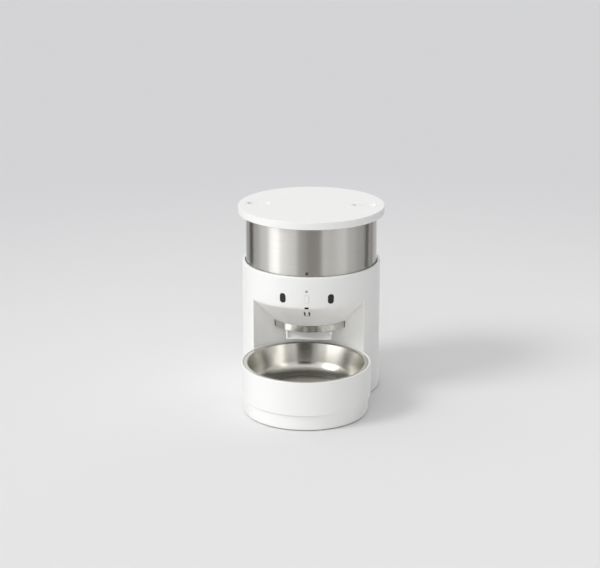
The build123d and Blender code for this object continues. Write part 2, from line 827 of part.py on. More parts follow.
def ring_sector(inner, outer, half_angle):
    """Part of a ring round the front direction, in the sketch that is open."""
    Circle(outer)
    Circle(inner, mode=Mode.SUBTRACT)
    reach = 2 * outer
    edge = (reach * sin(radians(half_angle)), -reach * cos(radians(half_angle)))
    Polygon((0, 0), edge, (-edge[0], edge[1]), align=None, mode=Mode.INTERSECT)


with BuildPart() as hopper_tube:
    with BuildSketch(body_plane(tube_bottom)):
        Circle(hopper_radius)
        Circle(tube_inside, mode=Mode.SUBTRACT)
    extrude(amount=tube_top - tube_bottom)
    with BuildSketch(radial_plane(0, tube_inside - 1, dot_z)):
        Circle(1.3)
    extrude(amount=hopper_wall + 2, mode=Mode.SUBTRACT)
hopper_tube.part.label = "hopper_tube"

with BuildPart() as hopper_dot:
    with BuildSketch(radial_plane(0, hopper_radius, dot_z)):
        Circle(dot_radius)
    extrude(amount=0.5)
    with BuildSketch(radial_plane(0, hopper_radius, dot_z)):
        Circle(1.2)
    extrude(amount=-(hopper_wall + 0.6))
    fillet(hopper_dot.faces().sort_by(Axis.Y)[0].edges(), 0.3)
hopper_dot.part.label = "hopper_dot"

collar_outside = tube_inside - seat_gap
with BuildPart() as hopper_base:
    add(
        revolved(
            [
                (floor_hole, ring_bottom),
                (chamber_radius, ring_bottom),
                (chamber_radius, chamber_top),
                (shoulder_radius, shoulder_z),
                (hopper_radius - 0.2, flange_bottom),
                (hopper_radius - 0.2, tube_bottom),
                (collar_outside, tube_bottom),
                (collar_outside, tube_bottom + collar_height),
                (collar_outside - 0.8, tube_bottom + collar_height),
                (collar_outside - collar_wall, tube_bottom),
                (shoulder_radius - funnel_wall, shoulder_z + 1.5),
                (chamber_radius - chamber_wall, chamber_top + 1.5),
                (chamber_radius - chamber_wall, ring_bottom + chamber_floor),
                (floor_hole, ring_bottom + chamber_floor),
            ],
            body_section,
            body_axis,
        )
    )
    with BuildSketch(body_plane(ring_bottom)):
        ring_sector(outlet_inner, outlet_outer, outlet_half)
    extrude(amount=chamber_floor, mode=Mode.SUBTRACT)
hopper_base.part.label = "hopper_base"

with BuildPart() as outlet_ring:
    with BuildSketch(body_plane(ring_bottom)):
        Circle(ring_radius)
        Circle(ring_inside, mode=Mode.SUBTRACT)
    extrude(amount=ring_height)
    ring_edges = outlet_ring.edges().filter_by(GeomType.CIRCLE).sort_by(SortBy.RADIUS)[-2:]
    fillet(ring_edges, 0.6)
outlet_ring.part.label = "outlet_ring"

with BuildPart() as rotor:
    with BuildSketch(body_plane(rotor_bottom)):
        Circle(rotor_hub)
    extrude(amount=rotor_top - rotor_bottom)
    with BuildSketch(body_plane(rotor_bottom)):
        with PolarLocations(0, vane_count, start_angle=30):
            with Locations((rotor_hub - 2, 0)):
                Rectangle(rotor_radius - rotor_hub + 2, vane_wall, align=(Align.MIN, Align.CENTER))
    extrude(amount=rotor_top - rotor_bottom)
    with BuildSketch(body_plane(rotor_bottom)):
        RegularPolygon(socket_flats / 2, 6, major_radius=False)
    extrude(amount=dog_bottom + dog_height + 0.6 - rotor_bottom, mode=Mode.SUBTRACT)
    with BuildSketch(body_plane(rotor_top)):
        Circle(1.6)
    extrude(amount=-12, mode=Mode.SUBTRACT)
rotor.part.label = "rotor"

stirrer_height = 22.0
with BuildPart() as stirrer:
    with BuildSketch(body_plane(rotor_top)):
        Circle(rotor_hub)
    extrude(amount=stirrer_height, taper=10)
    with BuildSketch(body_plane(rotor_top + 5)):
        with PolarLocations(0, 3):
            with Locations((rotor_hub - 5, 0)):
                SlotOverall(32, 5, align=(Align.MIN, Align.CENTER))
    extrude(amount=5)
    with BuildSketch(body_plane(rotor_top)):
        Circle(1.8)
    extrude(amount=stirrer_height, mode=Mode.SUBTRACT)
    with BuildSketch(body_plane(rotor_top + stirrer_height - 3)):
        Circle(3.4)
    extrude(amount=3, mode=Mode.SUBTRACT)
stirrer.part.label = "stirrer"

stirrer_screw = screws(
    [(0, body_y)], rotor_top + stirrer_height - 3, stirrer_height + 4, points_up=False
)
stirrer_screw.part.label = "stirrer_screw"

shield_height = 2.0
shield_gap = 0.8
with BuildPart() as portion_shield:
    with BuildSketch(body_plane(rotor_top + shield_gap)):
        ring_sector(rotor_hub + 4, chamber_radius - chamber_wall, outlet_half + 10)
    extrude(amount=shield_height)
portion_shield.part.label = "portion_shield"

# ================================================================ lid
lid_skin = 3.0
lid_rim_wall = 2.6
liner_wall = 2.2
liner_floor = 2.0
plug_depth = 12.0
plug_radius = tube_inside - 2.2
plug_bottom = tube_top - plug_depth
liner_edge = lid_radius - lid_rim_wall - seat_gap
skin_bottom = lid_top - lid_skin
flange_top = tube_top + liner_wall
lid_screw_ring = (hopper_radius + lid_radius - lid_rim_wall) / 2
lid_screw_angles = range(0, 360, 60)
press_travel = 2.5
press_length = 35.4         # dished lid buttons
press_width = 15.4
press_place = plug_radius - 16.0            # from the lid's axis, left and right
press_plate = 2.5
dish_depth = 1.7
dish_margin = 1.4
core_length = 26.0
core_width = 13.0
core_place = press_place - 4.5
catch_bar_width = 10.0
catch_bar_height = 3.2
catch_bar_z = plug_bottom + liner_floor + 0.6
catch_bar_start = press_place - 7.0
fin_width = 4.0
fin_place = press_place + 0.5
fin_z = catch_bar_z + 2.3
core_bottom = catch_bar_z + catch_bar_height + press_travel + 0.5
spring_place = core_place - 9.0
spring_radius = 2.6
spring_wire = 0.35
spring_pitch = 1.7

with BuildPart() as lid_cover:
    with BuildSketch(body_plane(lid_bottom)):
        Circle(lid_radius)
    extrude(amount=lid_height)
    fillet(lid_cover.faces().sort_by(Axis.Z)[-1].edges(), 1.6)
    fillet(lid_cover.faces().sort_by(Axis.Z)[0].edges(), 0.8)
    with BuildSketch(body_plane(lid_bottom)):
        Circle(lid_radius - lid_rim_wall)
    extrude(amount=skin_bottom - lid_bottom, mode=Mode.SUBTRACT)
    with BuildSketch(body_plane(flange_top)):
        with Locations(round_the_body(lid_screw_angles, lid_screw_ring)):
            Circle(3.0)
    extrude(amount=skin_bottom - flange_top)
    with BuildSketch(body_plane(flange_top)):
        with Locations(round_the_body(lid_screw_angles, lid_screw_ring)):
            Circle(1.6)
    extrude(amount=skin_bottom - flange_top, mode=Mode.SUBTRACT)
    with BuildSketch(body_plane(skin_bottom)):
        with Locations((-press_place, 0), (press_place, 0)):
            SlotOverall(press_length + 2 * slide_gap, press_width + 2 * slide_gap)
    extrude(amount=lid_skin, mode=Mode.SUBTRACT)
lid_cover.part.label = "lid_cover"

with BuildPart() as lid_liner:
    with BuildSketch(body_plane(plug_bottom)):
        Circle(plug_radius)
    extrude(amount=flange_top - plug_bottom)
    with BuildSketch(body_plane(tube_top)):
        Circle(liner_edge)
    extrude(amount=liner_wall)
    with BuildSketch(body_plane(plug_bottom + liner_floor)):
        Circle(plug_radius - liner_wall)
    extrude(amount=plug_depth + liner_wall, mode=Mode.SUBTRACT)
    with BuildSketch(body_plane(tube_top)):
        with Locations(round_the_body(lid_screw_angles, lid_screw_ring)):
            Circle(1.8)
    extrude(amount=liner_wall, mode=Mode.SUBTRACT)
    # windows and guides of the two catches
    with BuildSketch(body_plane(catch_bar_z - slide_gap)):
        Rectangle(2.2 * plug_radius, catch_bar_width + 2 * slide_gap)
        Rectangle(2 * (plug_radius - liner_wall - 1), 2 * catch_bar_width, mode=Mode.SUBTRACT)
    extrude(amount=catch_bar_height + 2 * slide_gap, mode=Mode.SUBTRACT)
    guide_y = catch_bar_width / 2 + slide_gap + 1
    rail_y = fin_width / 2 + slide_gap + 1
    with BuildSketch(body_plane(plug_bottom + liner_floor)):
        for side in (-1, 1):
            with Locations((side * (fin_place + 2), -guide_y), (side * (fin_place + 2), guide_y)):
                Rectangle(12, 2)
            with Locations((side * fin_place, -rail_y), (side * fin_place, rail_y)):
                Rectangle(14, 2)
    extrude(amount=catch_bar_z - plug_bottom - liner_floor)
lid_liner.part.label = "lid_liner"

with BuildPart() as lid_gasket:
    with BuildSketch(body_plane(tube_top - 3.4)):
        Circle(tube_inside - 0.4)
        Circle(plug_radius, mode=Mode.SUBTRACT)
    extrude(amount=2.6)
    fillet(lid_gasket.edges().filter_by(GeomType.CIRCLE).sort_by(SortBy.RADIUS)[-2:], 0.6)
lid_gasket.part.label = "lid_gasket"

lid_screw_spots = [
    (lid_screw_ring * sin(radians(a)), body_y - lid_screw_ring * cos(radians(a)))
    for a in lid_screw_angles
]
lid_screws = screws(lid_screw_spots, tube_top, 4.2, points_up=True)
lid_screws.part.label = "lid_screws"


def lid_button(side):
    """Dished button with a core, and a sloped fin that draws the catch inwards."""
    scoop_half = press_length / 2 - dish_margin
    scoop_radius = (scoop_half**2 + dish_depth**2) / (2 * dish_depth)
    top = lid_top - 0.1
    with BuildPart() as button:
        with BuildSketch(body_plane(top)):
            with Locations((side * press_place, 0)):
                SlotOverall(press_length, press_width)
        extrude(amount=-press_plate)
        with BuildSketch(body_plane(top - press_plate)):
            with Locations((side * core_place, 0)):
                SlotOverall(core_length, core_width)
        extrude(amount=-(top - press_plate - core_bottom))
        with BuildSketch(body_section):
            with Locations((side * press_place, top - dish_depth + scoop_radius)):
                Circle(scoop_radius)
        extrude(amount=press_width / 2 - dish_margin, both=True, mode=Mode.SUBTRACT)
        fin_top = core_bottom + 0.5
        rise = fin_top - fin_z
        with BuildSketch(body_section):
            with BuildLine():
                Polyline(
                    (side * fin_place, fin_z),
                    (side * (fin_place + 2), fin_z),
                    (side * (fin_place + 2), fin_top),
                    (side * (fin_place - rise), fin_top),
                    close=True,
                )
            make_face()
        extrude(amount=fin_width / 2, both=True)
    return button


def lid_catch(side):
    """Sliding bar that grips the hopper's wall, with a sloped slot for the button's fin."""
    bar_top = catch_bar_z + catch_bar_height
    slope_gap = 0.42
    nose = tube_inside - 0.4
    with BuildPart() as bar:
        with BuildSketch(body_plane(catch_bar_z)):
            with Locations((side * (catch_bar_start + 15), 0)):
                Rectangle(30, catch_bar_width)
        extrude(amount=catch_bar_height)
        with BuildSketch(body_plane(catch_bar_z)):
            Circle(nose)
        extrude(amount=catch_bar_height, mode=Mode.INTERSECT)
        with BuildSketch(body_section):
            with BuildLine():
                Polyline(
                    (side * (fin_place - slope_gap + fin_z - catch_bar_z), catch_bar_z),
                    (side * (fin_place - slope_gap + fin_z - bar_top), bar_top),
                    (side * (fin_place + press_travel + 2.5), bar_top),
                    (side * (fin_place + press_travel + 2.5), catch_bar_z),
                    close=True,
                )
            make_face()
        extrude(amount=fin_width / 2 + slide_gap, both=True, mode=Mode.SUBTRACT)
    return bar


def lid_spring(side):
    """Coil spring that stands on the liner and lifts a lid button."""
    foot = plug_bottom + liner_floor + spring_wire
    length = core_bottom - plug_bottom - liner_floor - 2 * spring_wire
    with BuildPart() as spring:
        with BuildLine():
            coil = Helix(
                pitch=spring_pitch,
                height=length,
                radius=spring_radius,
                center=(side * spring_place, body_y, foot),
            )
        with BuildSketch(Plane(origin=coil @ 0, z_dir=coil % 0)):
            Circle(spring_wire)
        sweep(is_frenet=True)
    return spring


lid_button_left = lid_button(-1)
lid_button_left.part.label = "lid_button_left"
lid_button_right = lid_button(1)
lid_button_right.part.label = "lid_button_right"
lid_catch_left = lid_catch(-1)
lid_catch_left.part.label = "lid_catch_left"
lid_catch_right = lid_catch(1)
lid_catch_right.part.label = "lid_catch_right"
lid_spring_left = lid_spring(-1)
lid_spring_left.part.label = "lid_spring_left"
lid_spring_right = lid_spring(1)
lid_spring_right.part.label = "lid_spring_right"

# ---------------------------------------------------------------- desiccant box under the lid
box_radius = 29.5
box_wall = 2.0
box_height = 12.0
cap_wall = 1.5
cap_floor = 1.6
cap_skirt = 5.0
box_bottom = plug_bottom - box_height
cap_floor_top = box_bottom - slide_gap

with BuildPart() as desiccant_box:
    with BuildSketch(body_plane(box_bottom)):
        Circle(box_radius)
        Circle(box_radius - box_wall, mode=Mode.SUBTRACT)
    extrude(amount=box_height)
desiccant_box.part.label = "desiccant_box"

with BuildPart() as desiccant_cap:
    with BuildSketch(body_plane(cap_floor_top - cap_floor)):
        Circle(box_radius + slide_gap + cap_wall)
    extrude(amount=cap_floor + cap_skirt)
    with BuildSketch(body_plane(cap_floor_top)):
        Circle(box_radius + slide_gap)
    extrude(amount=cap_skirt, mode=Mode.SUBTRACT)
    with BuildSketch(body_plane(cap_floor_top - cap_floor)):
        with PolarLocations(box_radius * 0.55, 10):
            SlotOverall(14, 2.4)
    extrude(amount=cap_floor, mode=Mode.SUBTRACT)
    # grip bar for turning the cap
    with BuildSketch(body_plane(cap_floor_top - cap_floor)):
        SlotOverall(2 * box_radius - 10, 3)
    extrude(amount=-4)
desiccant_cap.part.label = "desiccant_cap"

with BuildPart() as desiccant_pack:
    with BuildSketch(body_plane(cap_floor_top)):
        Circle(box_radius - box_wall - 1.0)
    extrude(amount=box_height - 2)
    fillet(desiccant_pack.edges(), 3.0)
desiccant_pack.part.label = "desiccant_pack"

# ================================================================ bowl stand
stand_wall = 2.9
stand_inside = stand_radius - stand_wall
ledge_z = stand_top - 1.8
ledge_reach = 3.6
ledge_height = 3.0
stand_floor = 2.5
bowl_steel = 0.8
bowl_flange = stand_inside - 0.4
bowl_mouth = stand_inside - 6.2
bowl_floor_corner = bowl_mouth - 5.8
bowl_floor_z = foot_top + stand_floor + 3.2
bowl_corner_radius = 20.0
bowl_lip_radius = 2.2
foot_wall = 2.5
stand_screw_ring = 40.0
stand_screw_angles = (45, 135, 225, 315)
stand_pad_ring = foot_radius - 11.3
pad_column = 7.0


def round_the_bowl(angles, radius):
    """Locations at angles from the front, round the bowl's axis, in a plane centred on it."""
    return [Location((radius * sin(radians(a)), -radius * cos(radians(a)))) for a in angles]


stand_screw_spots = [
    (stand_screw_ring * sin(radians(a)), bowl_y - stand_screw_ring * cos(radians(a)))
    for a in stand_screw_angles
]

with BuildPart() as stand_ring:
    add(
        revolved(
            [
                (0, foot_top),
                (stand_radius, foot_top),
                (stand_radius, stand_top),
                (stand_inside, stand_top),
                (stand_inside, ledge_z),
                (stand_inside - ledge_reach, ledge_z),
                (stand_inside - ledge_reach, ledge_z - ledge_height),
                (stand_inside, ledge_z - ledge_height - ledge_reach),
                (stand_inside, foot_top + stand_floor),
                (0, foot_top + stand_floor),
            ],
            bowl_section,
            bowl_axis,
        )
    )
    fillet(stand_ring.edges().filter_by(GeomType.CIRCLE).group_by(Axis.Z)[-1], 1.2)
    bottom_edges = stand_ring.edges().filter_by(GeomType.CIRCLE).group_by(Axis.Z)[0]
    fillet(bottom_edges.sort_by(SortBy.RADIUS)[-1], 1.6)
    with BuildSketch(Plane.XY.offset(foot_top)):
        with Locations(stand_screw_spots):
            Circle(1.6)
    extrude(amount=stand_floor - 0.5, mode=Mode.SUBTRACT)
stand_ring.part.label = "stand_ring"

with BuildPart() as stand_foot:
    with BuildSketch(bowl_plane(shell_bottom)):
        Circle(foot_radius)
    extrude(amount=foot_top - shell_bottom)
    foot_edges = stand_foot.edges().filter_by(GeomType.CIRCLE).group_by(Axis.Z)[0]
    fillet(foot_edges, 1.5)
    with BuildSketch(bowl_plane(shell_bottom)):
        Circle(foot_radius - foot_wall)
        with Locations(round_the_bowl(stand_screw_angles, stand_pad_ring)):
            Circle(pad_column, mode=Mode.SUBTRACT)
    extrude(amount=foot_top - foot_wall - shell_bottom, mode=Mode.SUBTRACT)
    with BuildSketch(bowl_plane(shell_bottom)):
        with Locations(round_the_bowl(stand_screw_angles, stand_pad_ring)):
            Circle(pad_radius + seat_gap)
    extrude(amount=pad_pocket, mode=Mode.SUBTRACT)
    with BuildSketch(Plane.XY.offset(foot_top - foot_wall)):
        with Locations(stand_screw_spots):
            Circle(1.8)
    extrude(amount=foot_wall, mode=Mode.SUBTRACT)
    # notch for the docking tongue
    with BuildSketch(Plane((0, bowl_y + foot_radius - 5, 0))):
        Rectangle(tongue_width + 2 * slide_gap, 20)
    extrude(amount=base_top + slide_gap, mode=Mode.SUBTRACT)
stand_foot.part.label = "stand_foot"

stand_screws = screws(stand_screw_spots, foot_top - foot_wall, 4.3, points_up=True)
stand_screws.part.label = "stand_screws"

with BuildPart() as stand_pads:
    with BuildSketch(bowl_plane(0)):
        with Locations(round_the_bowl(stand_screw_angles, stand_pad_ring)):
            Circle(pad_radius)
    extrude(amount=pad_height)
    fillet(stand_pads.edges().filter_by(GeomType.CIRCLE).group_by(Axis.Z)[0], 0.5)
stand_pads.part.label = "stand_pads"

flange_z = ledge_z + bowl_steel
wall_lean = (bowl_mouth - bowl_floor_corner) / (flange_z - bowl_floor_z)
wall_shift = bowl_steel * (sqrt(1 + wall_lean**2) - wall_lean)
with BuildPart() as steel_bowl:
    with BuildSketch(bowl_section):
        with BuildLine():
            inside = FilletPolyline(
                (0, bowl_floor_z),
                (bowl_floor_corner, bowl_floor_z),
                (bowl_mouth, flange_z),
                (bowl_flange, flange_z),
                radius=[bowl_corner_radius, bowl_lip_radius],
            )
            outside = FilletPolyline(
                (0, bowl_floor_z - bowl_steel),
                (bowl_floor_corner + wall_shift, bowl_floor_z - bowl_steel),
                (bowl_mouth + wall_shift, ledge_z),
                (bowl_flange, ledge_z),
                radius=[bowl_corner_radius + bowl_steel, bowl_lip_radius - bowl_steel],
            )
            Line(inside @ 0, outside @ 0)
            Line(inside @ 1, outside @ 1)
        make_face()
    revolve(axis=bowl_axis)
steel_bowl.part.label = "steel_bowl"

# ================================================================ STEP files
pieces = (
    housing_shell,
    alcove_panel,
    feed_chute,
    base_plate,
    base_pads,
    base_screws,
    deck,
    deck_screws,
    gear_case,
    drive_gear,
    drive_shaft,
    drive_bush,
    idler_gear,
    idler_pin,
    motor_pinion,
    motor,
    battery_tray,
    battery_cells,
    battery_contacts,
    battery_door,
    power_socket,
    main_board,
    board_parts,
    board_standoffs,
    sensor_window_left,
    sensor_window_right,
    sensor_modules,
    front_board,
    board_screws,
    feed_switch,
    feed_button,
    led_pipe,
    infrared_window,
    buzzer,
    hopper_tube,
    hopper_dot,
    hopper_base,
    outlet_ring,
    rotor,
    stirrer,
    stirrer_screw,
    portion_shield,
    lid_cover,
    lid_liner,
    lid_gasket,
    lid_screws,
    lid_button_left,
    lid_button_right,
    lid_catch_left,
    lid_catch_right,
    lid_spring_left,
    lid_spring_right,
    desiccant_box,
    desiccant_cap,
    desiccant_pack,
    stand_ring,
    stand_foot,
    stand_screws,
    stand_pads,
    steel_bowl,
)

os.makedirs("parts", exist_ok=True)
for piece in pieces:
    export_step(piece.part, f"parts/{piece.part.label}.step")
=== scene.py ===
"""Automatic pet feeder: the looks of a round white feeder with a steel hopper and a steel bowl.

Sizes are in millimetres and turn into metres where they reach Blender. +Z is up and the bowl lies
towards -Y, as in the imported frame, which gives each piece its size and place.
"""

import json
import logging
from contextlib import contextmanager
from dataclasses import dataclass, replace
from enum import Enum
from itertools import pairwise
from math import atan, cos, hypot, pi, radians, sin, tan
from typing import Callable, Iterator, Sequence

import bmesh
import bpy
from mathutils import Matrix, Vector


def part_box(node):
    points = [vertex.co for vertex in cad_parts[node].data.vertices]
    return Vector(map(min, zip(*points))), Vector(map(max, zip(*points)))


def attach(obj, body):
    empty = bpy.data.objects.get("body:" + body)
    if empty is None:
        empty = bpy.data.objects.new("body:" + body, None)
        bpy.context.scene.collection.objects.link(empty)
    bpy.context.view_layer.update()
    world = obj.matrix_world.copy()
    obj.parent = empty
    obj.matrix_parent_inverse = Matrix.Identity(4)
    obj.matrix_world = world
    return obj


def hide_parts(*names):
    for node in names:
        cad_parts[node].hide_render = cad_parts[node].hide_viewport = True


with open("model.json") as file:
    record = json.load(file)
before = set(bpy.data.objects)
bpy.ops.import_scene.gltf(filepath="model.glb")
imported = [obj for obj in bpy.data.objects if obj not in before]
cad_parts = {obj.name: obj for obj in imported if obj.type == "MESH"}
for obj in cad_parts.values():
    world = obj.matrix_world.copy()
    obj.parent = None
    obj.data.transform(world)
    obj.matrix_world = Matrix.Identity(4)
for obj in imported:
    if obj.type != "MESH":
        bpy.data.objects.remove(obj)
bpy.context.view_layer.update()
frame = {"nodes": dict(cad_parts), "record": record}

logger = logging.getLogger("feeder")

MM = 0.001
ROUND_SIDES = 216           # facets round a large turned piece
SMOOTH_BELOW = radians(32)  # edges that turn less than this are shaded smooth
SAME = 0.002                # points closer than this are one
LEVEL = 0.9                 # a face is level if its normal's Z is past this
SINK = 0.2                  # how far a welded piece reaches into the other one
BEYOND = 5.0                # how far a cutter reaches past what it cuts

Edge = bmesh.types.BMEdge


# ---------------------------------------------------------------- the frame
@dataclass(frozen=True)
class Extent:
    """Box of a CAD node in millimetres."""

    low: Vector
    high: Vector

    @classmethod
    def of(cls, node: str) -> "Extent":
        """Reads a node's box from the frame.

        Args:
            node: name of the CAD node.

        Returns:
            The node's box at rest.
        """
        low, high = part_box(node)
        return cls(low / MM, high / MM)

    @property
    def middle(self) -> Vector:
        """Centre of the box."""
        return (self.low + self.high) / 2

    @property
    def radius(self) -> float:
        """Half of the width along X, which is the radius of a turned piece."""
        return (self.high.x - self.low.x) / 2

    @property
    def height(self) -> float:
        """Height of the box."""
        return self.high.z - self.low.z


class Roster:
    """Who a node belongs to: its body and its material slot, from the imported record."""

    body = {node: name for name, nodes in frame["record"]["behaviour"]["bodies"].items() for node in nodes}
    slot = {entry["node"]: entry["material_slot"] for entry in frame["record"]["subparts"]}


# ---------------------------------------------------------------- the bench
class Pick(Enum):
    """Kind of mesh element that is selected."""

    VERT = "verts"
    EDGE = "edges"
    FACE = "faces"


class Join(Enum):
    """How one solid is combined with another."""

    CUT = "DIFFERENCE"
    WELD = "UNION"
    KEEP = "INTERSECT"


@dataclass(frozen=True)
class Corner:
    """Corner of a turned section: radius and height, and the radius of its rounding."""

    radius: float
    height: float
    rounding: float = 0.0


class Workpiece:
    """A mesh on the bench: a primitive that is shaped in edit mode and combined with others."""

    def __init__(self, obj: bpy.types.Object) -> None:
        """Takes up an object."""
        self.obj = obj

    @classmethod
    def added(cls, name: str, primitive: Callable[..., object], **settings: object) -> "Workpiece":
        """Adds a primitive and moves its place into its mesh.

        Args:
            name: name of the new piece.
            primitive: the operator that adds it.
            settings: its size and place.

        Returns:
            The piece.
        """
        bpy.ops.object.select_all(action="DESELECT")
        primitive(**settings)
        obj = bpy.context.active_object
        obj.name = obj.data.name = name
        bpy.ops.object.transform_apply(location=True, rotation=True, scale=True)
        return cls(obj)

    def activate(self) -> None:
        """Makes this piece the only one that is selected."""
        bpy.ops.object.select_all(action="DESELECT")
        self.obj.select_set(True)
        bpy.context.view_layer.objects.active = self.obj

    @contextmanager
    def editing(self) -> Iterator[None]:
        """Opens the mesh in edit mode with everything selected."""
        self.activate()
        bpy.ops.object.mode_set(mode="EDIT")
        bpy.ops.mesh.select_all(action="SELECT")
        yield
        bpy.ops.object.mode_set(mode="OBJECT")

    def pick(self, kind: Pick, test: Callable[..., bool]) -> None:
        """Selects what passes a test, while the mesh is open.

        Args:
            kind: faces, edges or vertices.
            test: called with each bmesh element.
        """
        bpy.ops.mesh.select_mode(type=kind.name)
        bpy.ops.mesh.select_all(action="DESELECT")
        mesh = bmesh.from_edit_mesh(self.obj.data)
        for part in [part for part in getattr(mesh, kind.value) if test(part)]:
            part.select_set(True)
        mesh.select_flush_mode()
        bmesh.update_edit_mesh(self.obj.data)

    def round_edges(self, test: Callable[[Edge], bool], offset: float, steps: int = 3) -> None:
        """Rounds the edges that pass a test, while the mesh is open.

        Args:
            test: called with each edge.
            offset: how far the rounding reaches over the faces beside it.
            steps: facets across it.
        """
        self.pick(Pick.EDGE, test)
        bpy.ops.mesh.bevel(offset_type="OFFSET", offset=offset * MM, segments=steps, affect="EDGES")

    def apply(self, kind: str, **settings: object) -> None:
        """Adds a modifier, sets it and applies it.

        Args:
            kind: the modifier's type.
            settings: its properties.
        """
        self.activate()
        modifier = self.obj.modifiers.new(kind.lower(), kind)
        for name, value in settings.items():
            setattr(modifier, name, value)
        bpy.ops.object.modifier_apply(modifier=modifier.name)

    def merge(self) -> None:
        """Merges double points and turns all faces outwards."""
        with self.editing():
            bpy.ops.mesh.remove_doubles(threshold=SAME * MM)
            bpy.ops.mesh.normals_make_consistent(inside=False)

    def combine(self, how: Join, *tools: "Workpiece") -> "Workpiece":
        """Combines the piece with other solids, which are used up.

        Points that come out double are merged each time, since the next cut needs a closed mesh.

        Args:
            how: cut, weld or keep.
            tools: the other solids.

        Returns:
            This piece.
        """
        for tool in tools:
            self.apply("BOOLEAN", operation=how.value, solver="EXACT", object=tool.obj)
            bpy.data.objects.remove(tool.obj)
            self.merge()
        return self

    def shade(self) -> None:
        """Shades the faces smooth across soft edges, with flat faces kept flat."""
        self.merge()
        self.activate()
        bpy.ops.object.shade_smooth_by_angle(angle=SMOOTH_BELOW)
        self.apply("WEIGHTED_NORMAL", keep_sharp=True)

    def place(self, matrix: Matrix) -> "Workpiece":
        """Moves the mesh by a matrix in metres and leaves the object at the origin."""
        self.obj.data.transform(matrix)
        return self

    def moved(self, x: float, y: float, z: float) -> "Workpiece":
        """Moves the mesh by a distance in millimetres."""
        return self.place(Matrix.Translation(Vector((x, y, z)) * MM))


def ring_edge(corner: Corner) -> Callable[[Edge], bool]:
    """Makes the test for the edges of a turned piece that a corner of its section draws.

    Args:
        corner: the corner, which runs round the upright axis at the origin.

    Returns:
        The test.
    """
    reach = 0.02

    def on_ring(edge: Edge) -> bool:
        """Tells whether both ends of an edge lie on the corner's circle."""
        places = [vert.co / MM for vert in edge.verts]
        level = all(abs(p.z - corner.height) < reach for p in places)
        return level and all(abs(hypot(p.x, p.y) - corner.radius) < reach for p in places)

    return on_ring


def rim_edge(height: float) -> Callable[[Edge], bool]:
    """Makes the test for the edges between a level face and the walls round it.

    Args:
        height: height of the face.

    Returns:
        The test.
    """
    reach = 0.01

    def on_rim(edge: Edge) -> bool:
        """Tells whether an edge lies at the face's height and has a wall beside it."""
        level = all(abs(vert.co.z / MM - height) < reach for vert in edge.verts)
        return level and any(abs(face.normal.z) < LEVEL for face in edge.link_faces)

    return on_rim


def turned(
    name: str,
    axis_y: float,
    section: Sequence[Corner],
    hollow: bool = False,
    sides: int = ROUND_SIDES,
    soft: int = 4,
    axis_x: float = 0.0,
) -> Workpiece:
    """Turns a section about an upright axis: a ring of edges is drawn out from corner to corner.

    Args:
        name: name of the piece.
        axis_y: place of the axis.
        section: corners in order round the section; the first and last are closed by discs,
            unless the piece is hollow.
        hollow: the section is closed on itself, as in a tube.
        sides: number of facets round the axis.
        soft: number of facets across a rounding.
        axis_x: place of the axis.

    Returns:
        The piece.
    """
    first, end = section[0], section[-1]
    piece = Workpiece.added(
        name,
        bpy.ops.mesh.primitive_circle_add,
        vertices=sides,
        radius=first.radius * MM,
        fill_type="NOTHING" if hollow else "NGON",
        location=(0, 0, first.height * MM),
    )
    with piece.editing():
        bpy.ops.mesh.select_mode(type="EDGE")
        bpy.ops.mesh.select_all(action="SELECT")
        for last, corner in pairwise(section):
            rise = (0, 0, (corner.height - last.height) * MM)
            bpy.ops.mesh.extrude_edges_move(TRANSFORM_OT_translate={"value": rise})
            if corner.radius != last.radius:
                grow = corner.radius / last.radius
                bpy.ops.transform.resize(value=(grow, grow, 1), center_override=(0, 0, 0))
        if hollow:
            outline = (end, *section, first)
            on_first, on_end = ring_edge(first), ring_edge(end)
            piece.pick(Pick.EDGE, lambda edge: on_first(edge) or on_end(edge))
            bpy.ops.mesh.bridge_edge_loops()
        else:
            outline = (Corner(0, first.height), *section, Corner(0, end.height))
            bpy.ops.mesh.edge_face_add()
        bpy.ops.mesh.select_all(action="SELECT")
        bpy.ops.mesh.normals_make_consistent(inside=False)
        for before, corner, after in zip(outline, section, outline[2:]):
            if corner.rounding:
                turn = turn_at(before, corner, after)
                piece.round_edges(ring_edge(corner), corner.rounding * tan(turn / 2), soft)
    return piece.place(Matrix.Translation((axis_x * MM, axis_y * MM, 0)))


def turn_at(before: Corner, here: Corner, after: Corner) -> float:
    """Finds the angle by which a section's outline turns at a corner.

    Args:
        before: the corner before it.
        here: the corner.
        after: the corner after it.

    Returns:
        The angle in radians.
    """
    arriving = Vector((here.radius - before.radius, here.height - before.height))
    leaving = Vector((after.radius - here.radius, after.height - here.height))
    return arriving.angle(leaving)


def disc(name: str, axis_y: float, radius: float, low: float, high: float, **settings: object) -> Workpiece:
    """Turns a plain disc, used as a column or a cutter.

    Args:
        name: name of the piece.
        axis_y: place of its axis.
        radius: its radius.
        low: height of its lower face.
        high: height of its upper face.
        settings: what turned() takes besides.

    Returns:
        The disc.
    """
    return turned(name, axis_y, [Corner(radius, low), Corner(radius, high)], **settings)


def tube_section(
    inside: float, outside: float, low: float, high: float, edges: Sequence[float] = (0, 0, 0, 0)
) -> list[Corner]:
    """Lists the corners of a tube's section.

    Args:
        inside: inner radius.
        outside: outer radius.
        low: height of its lower end.
        high: height of its upper end.
        edges: the corners' roundings, from the lower inner one by way of the lower outer one.

    Returns:
        The corners.
    """
    places = ((inside, low), (outside, low), (outside, high), (inside, high))
    return [Corner(*place, edge) for place, edge in zip(places, edges)]


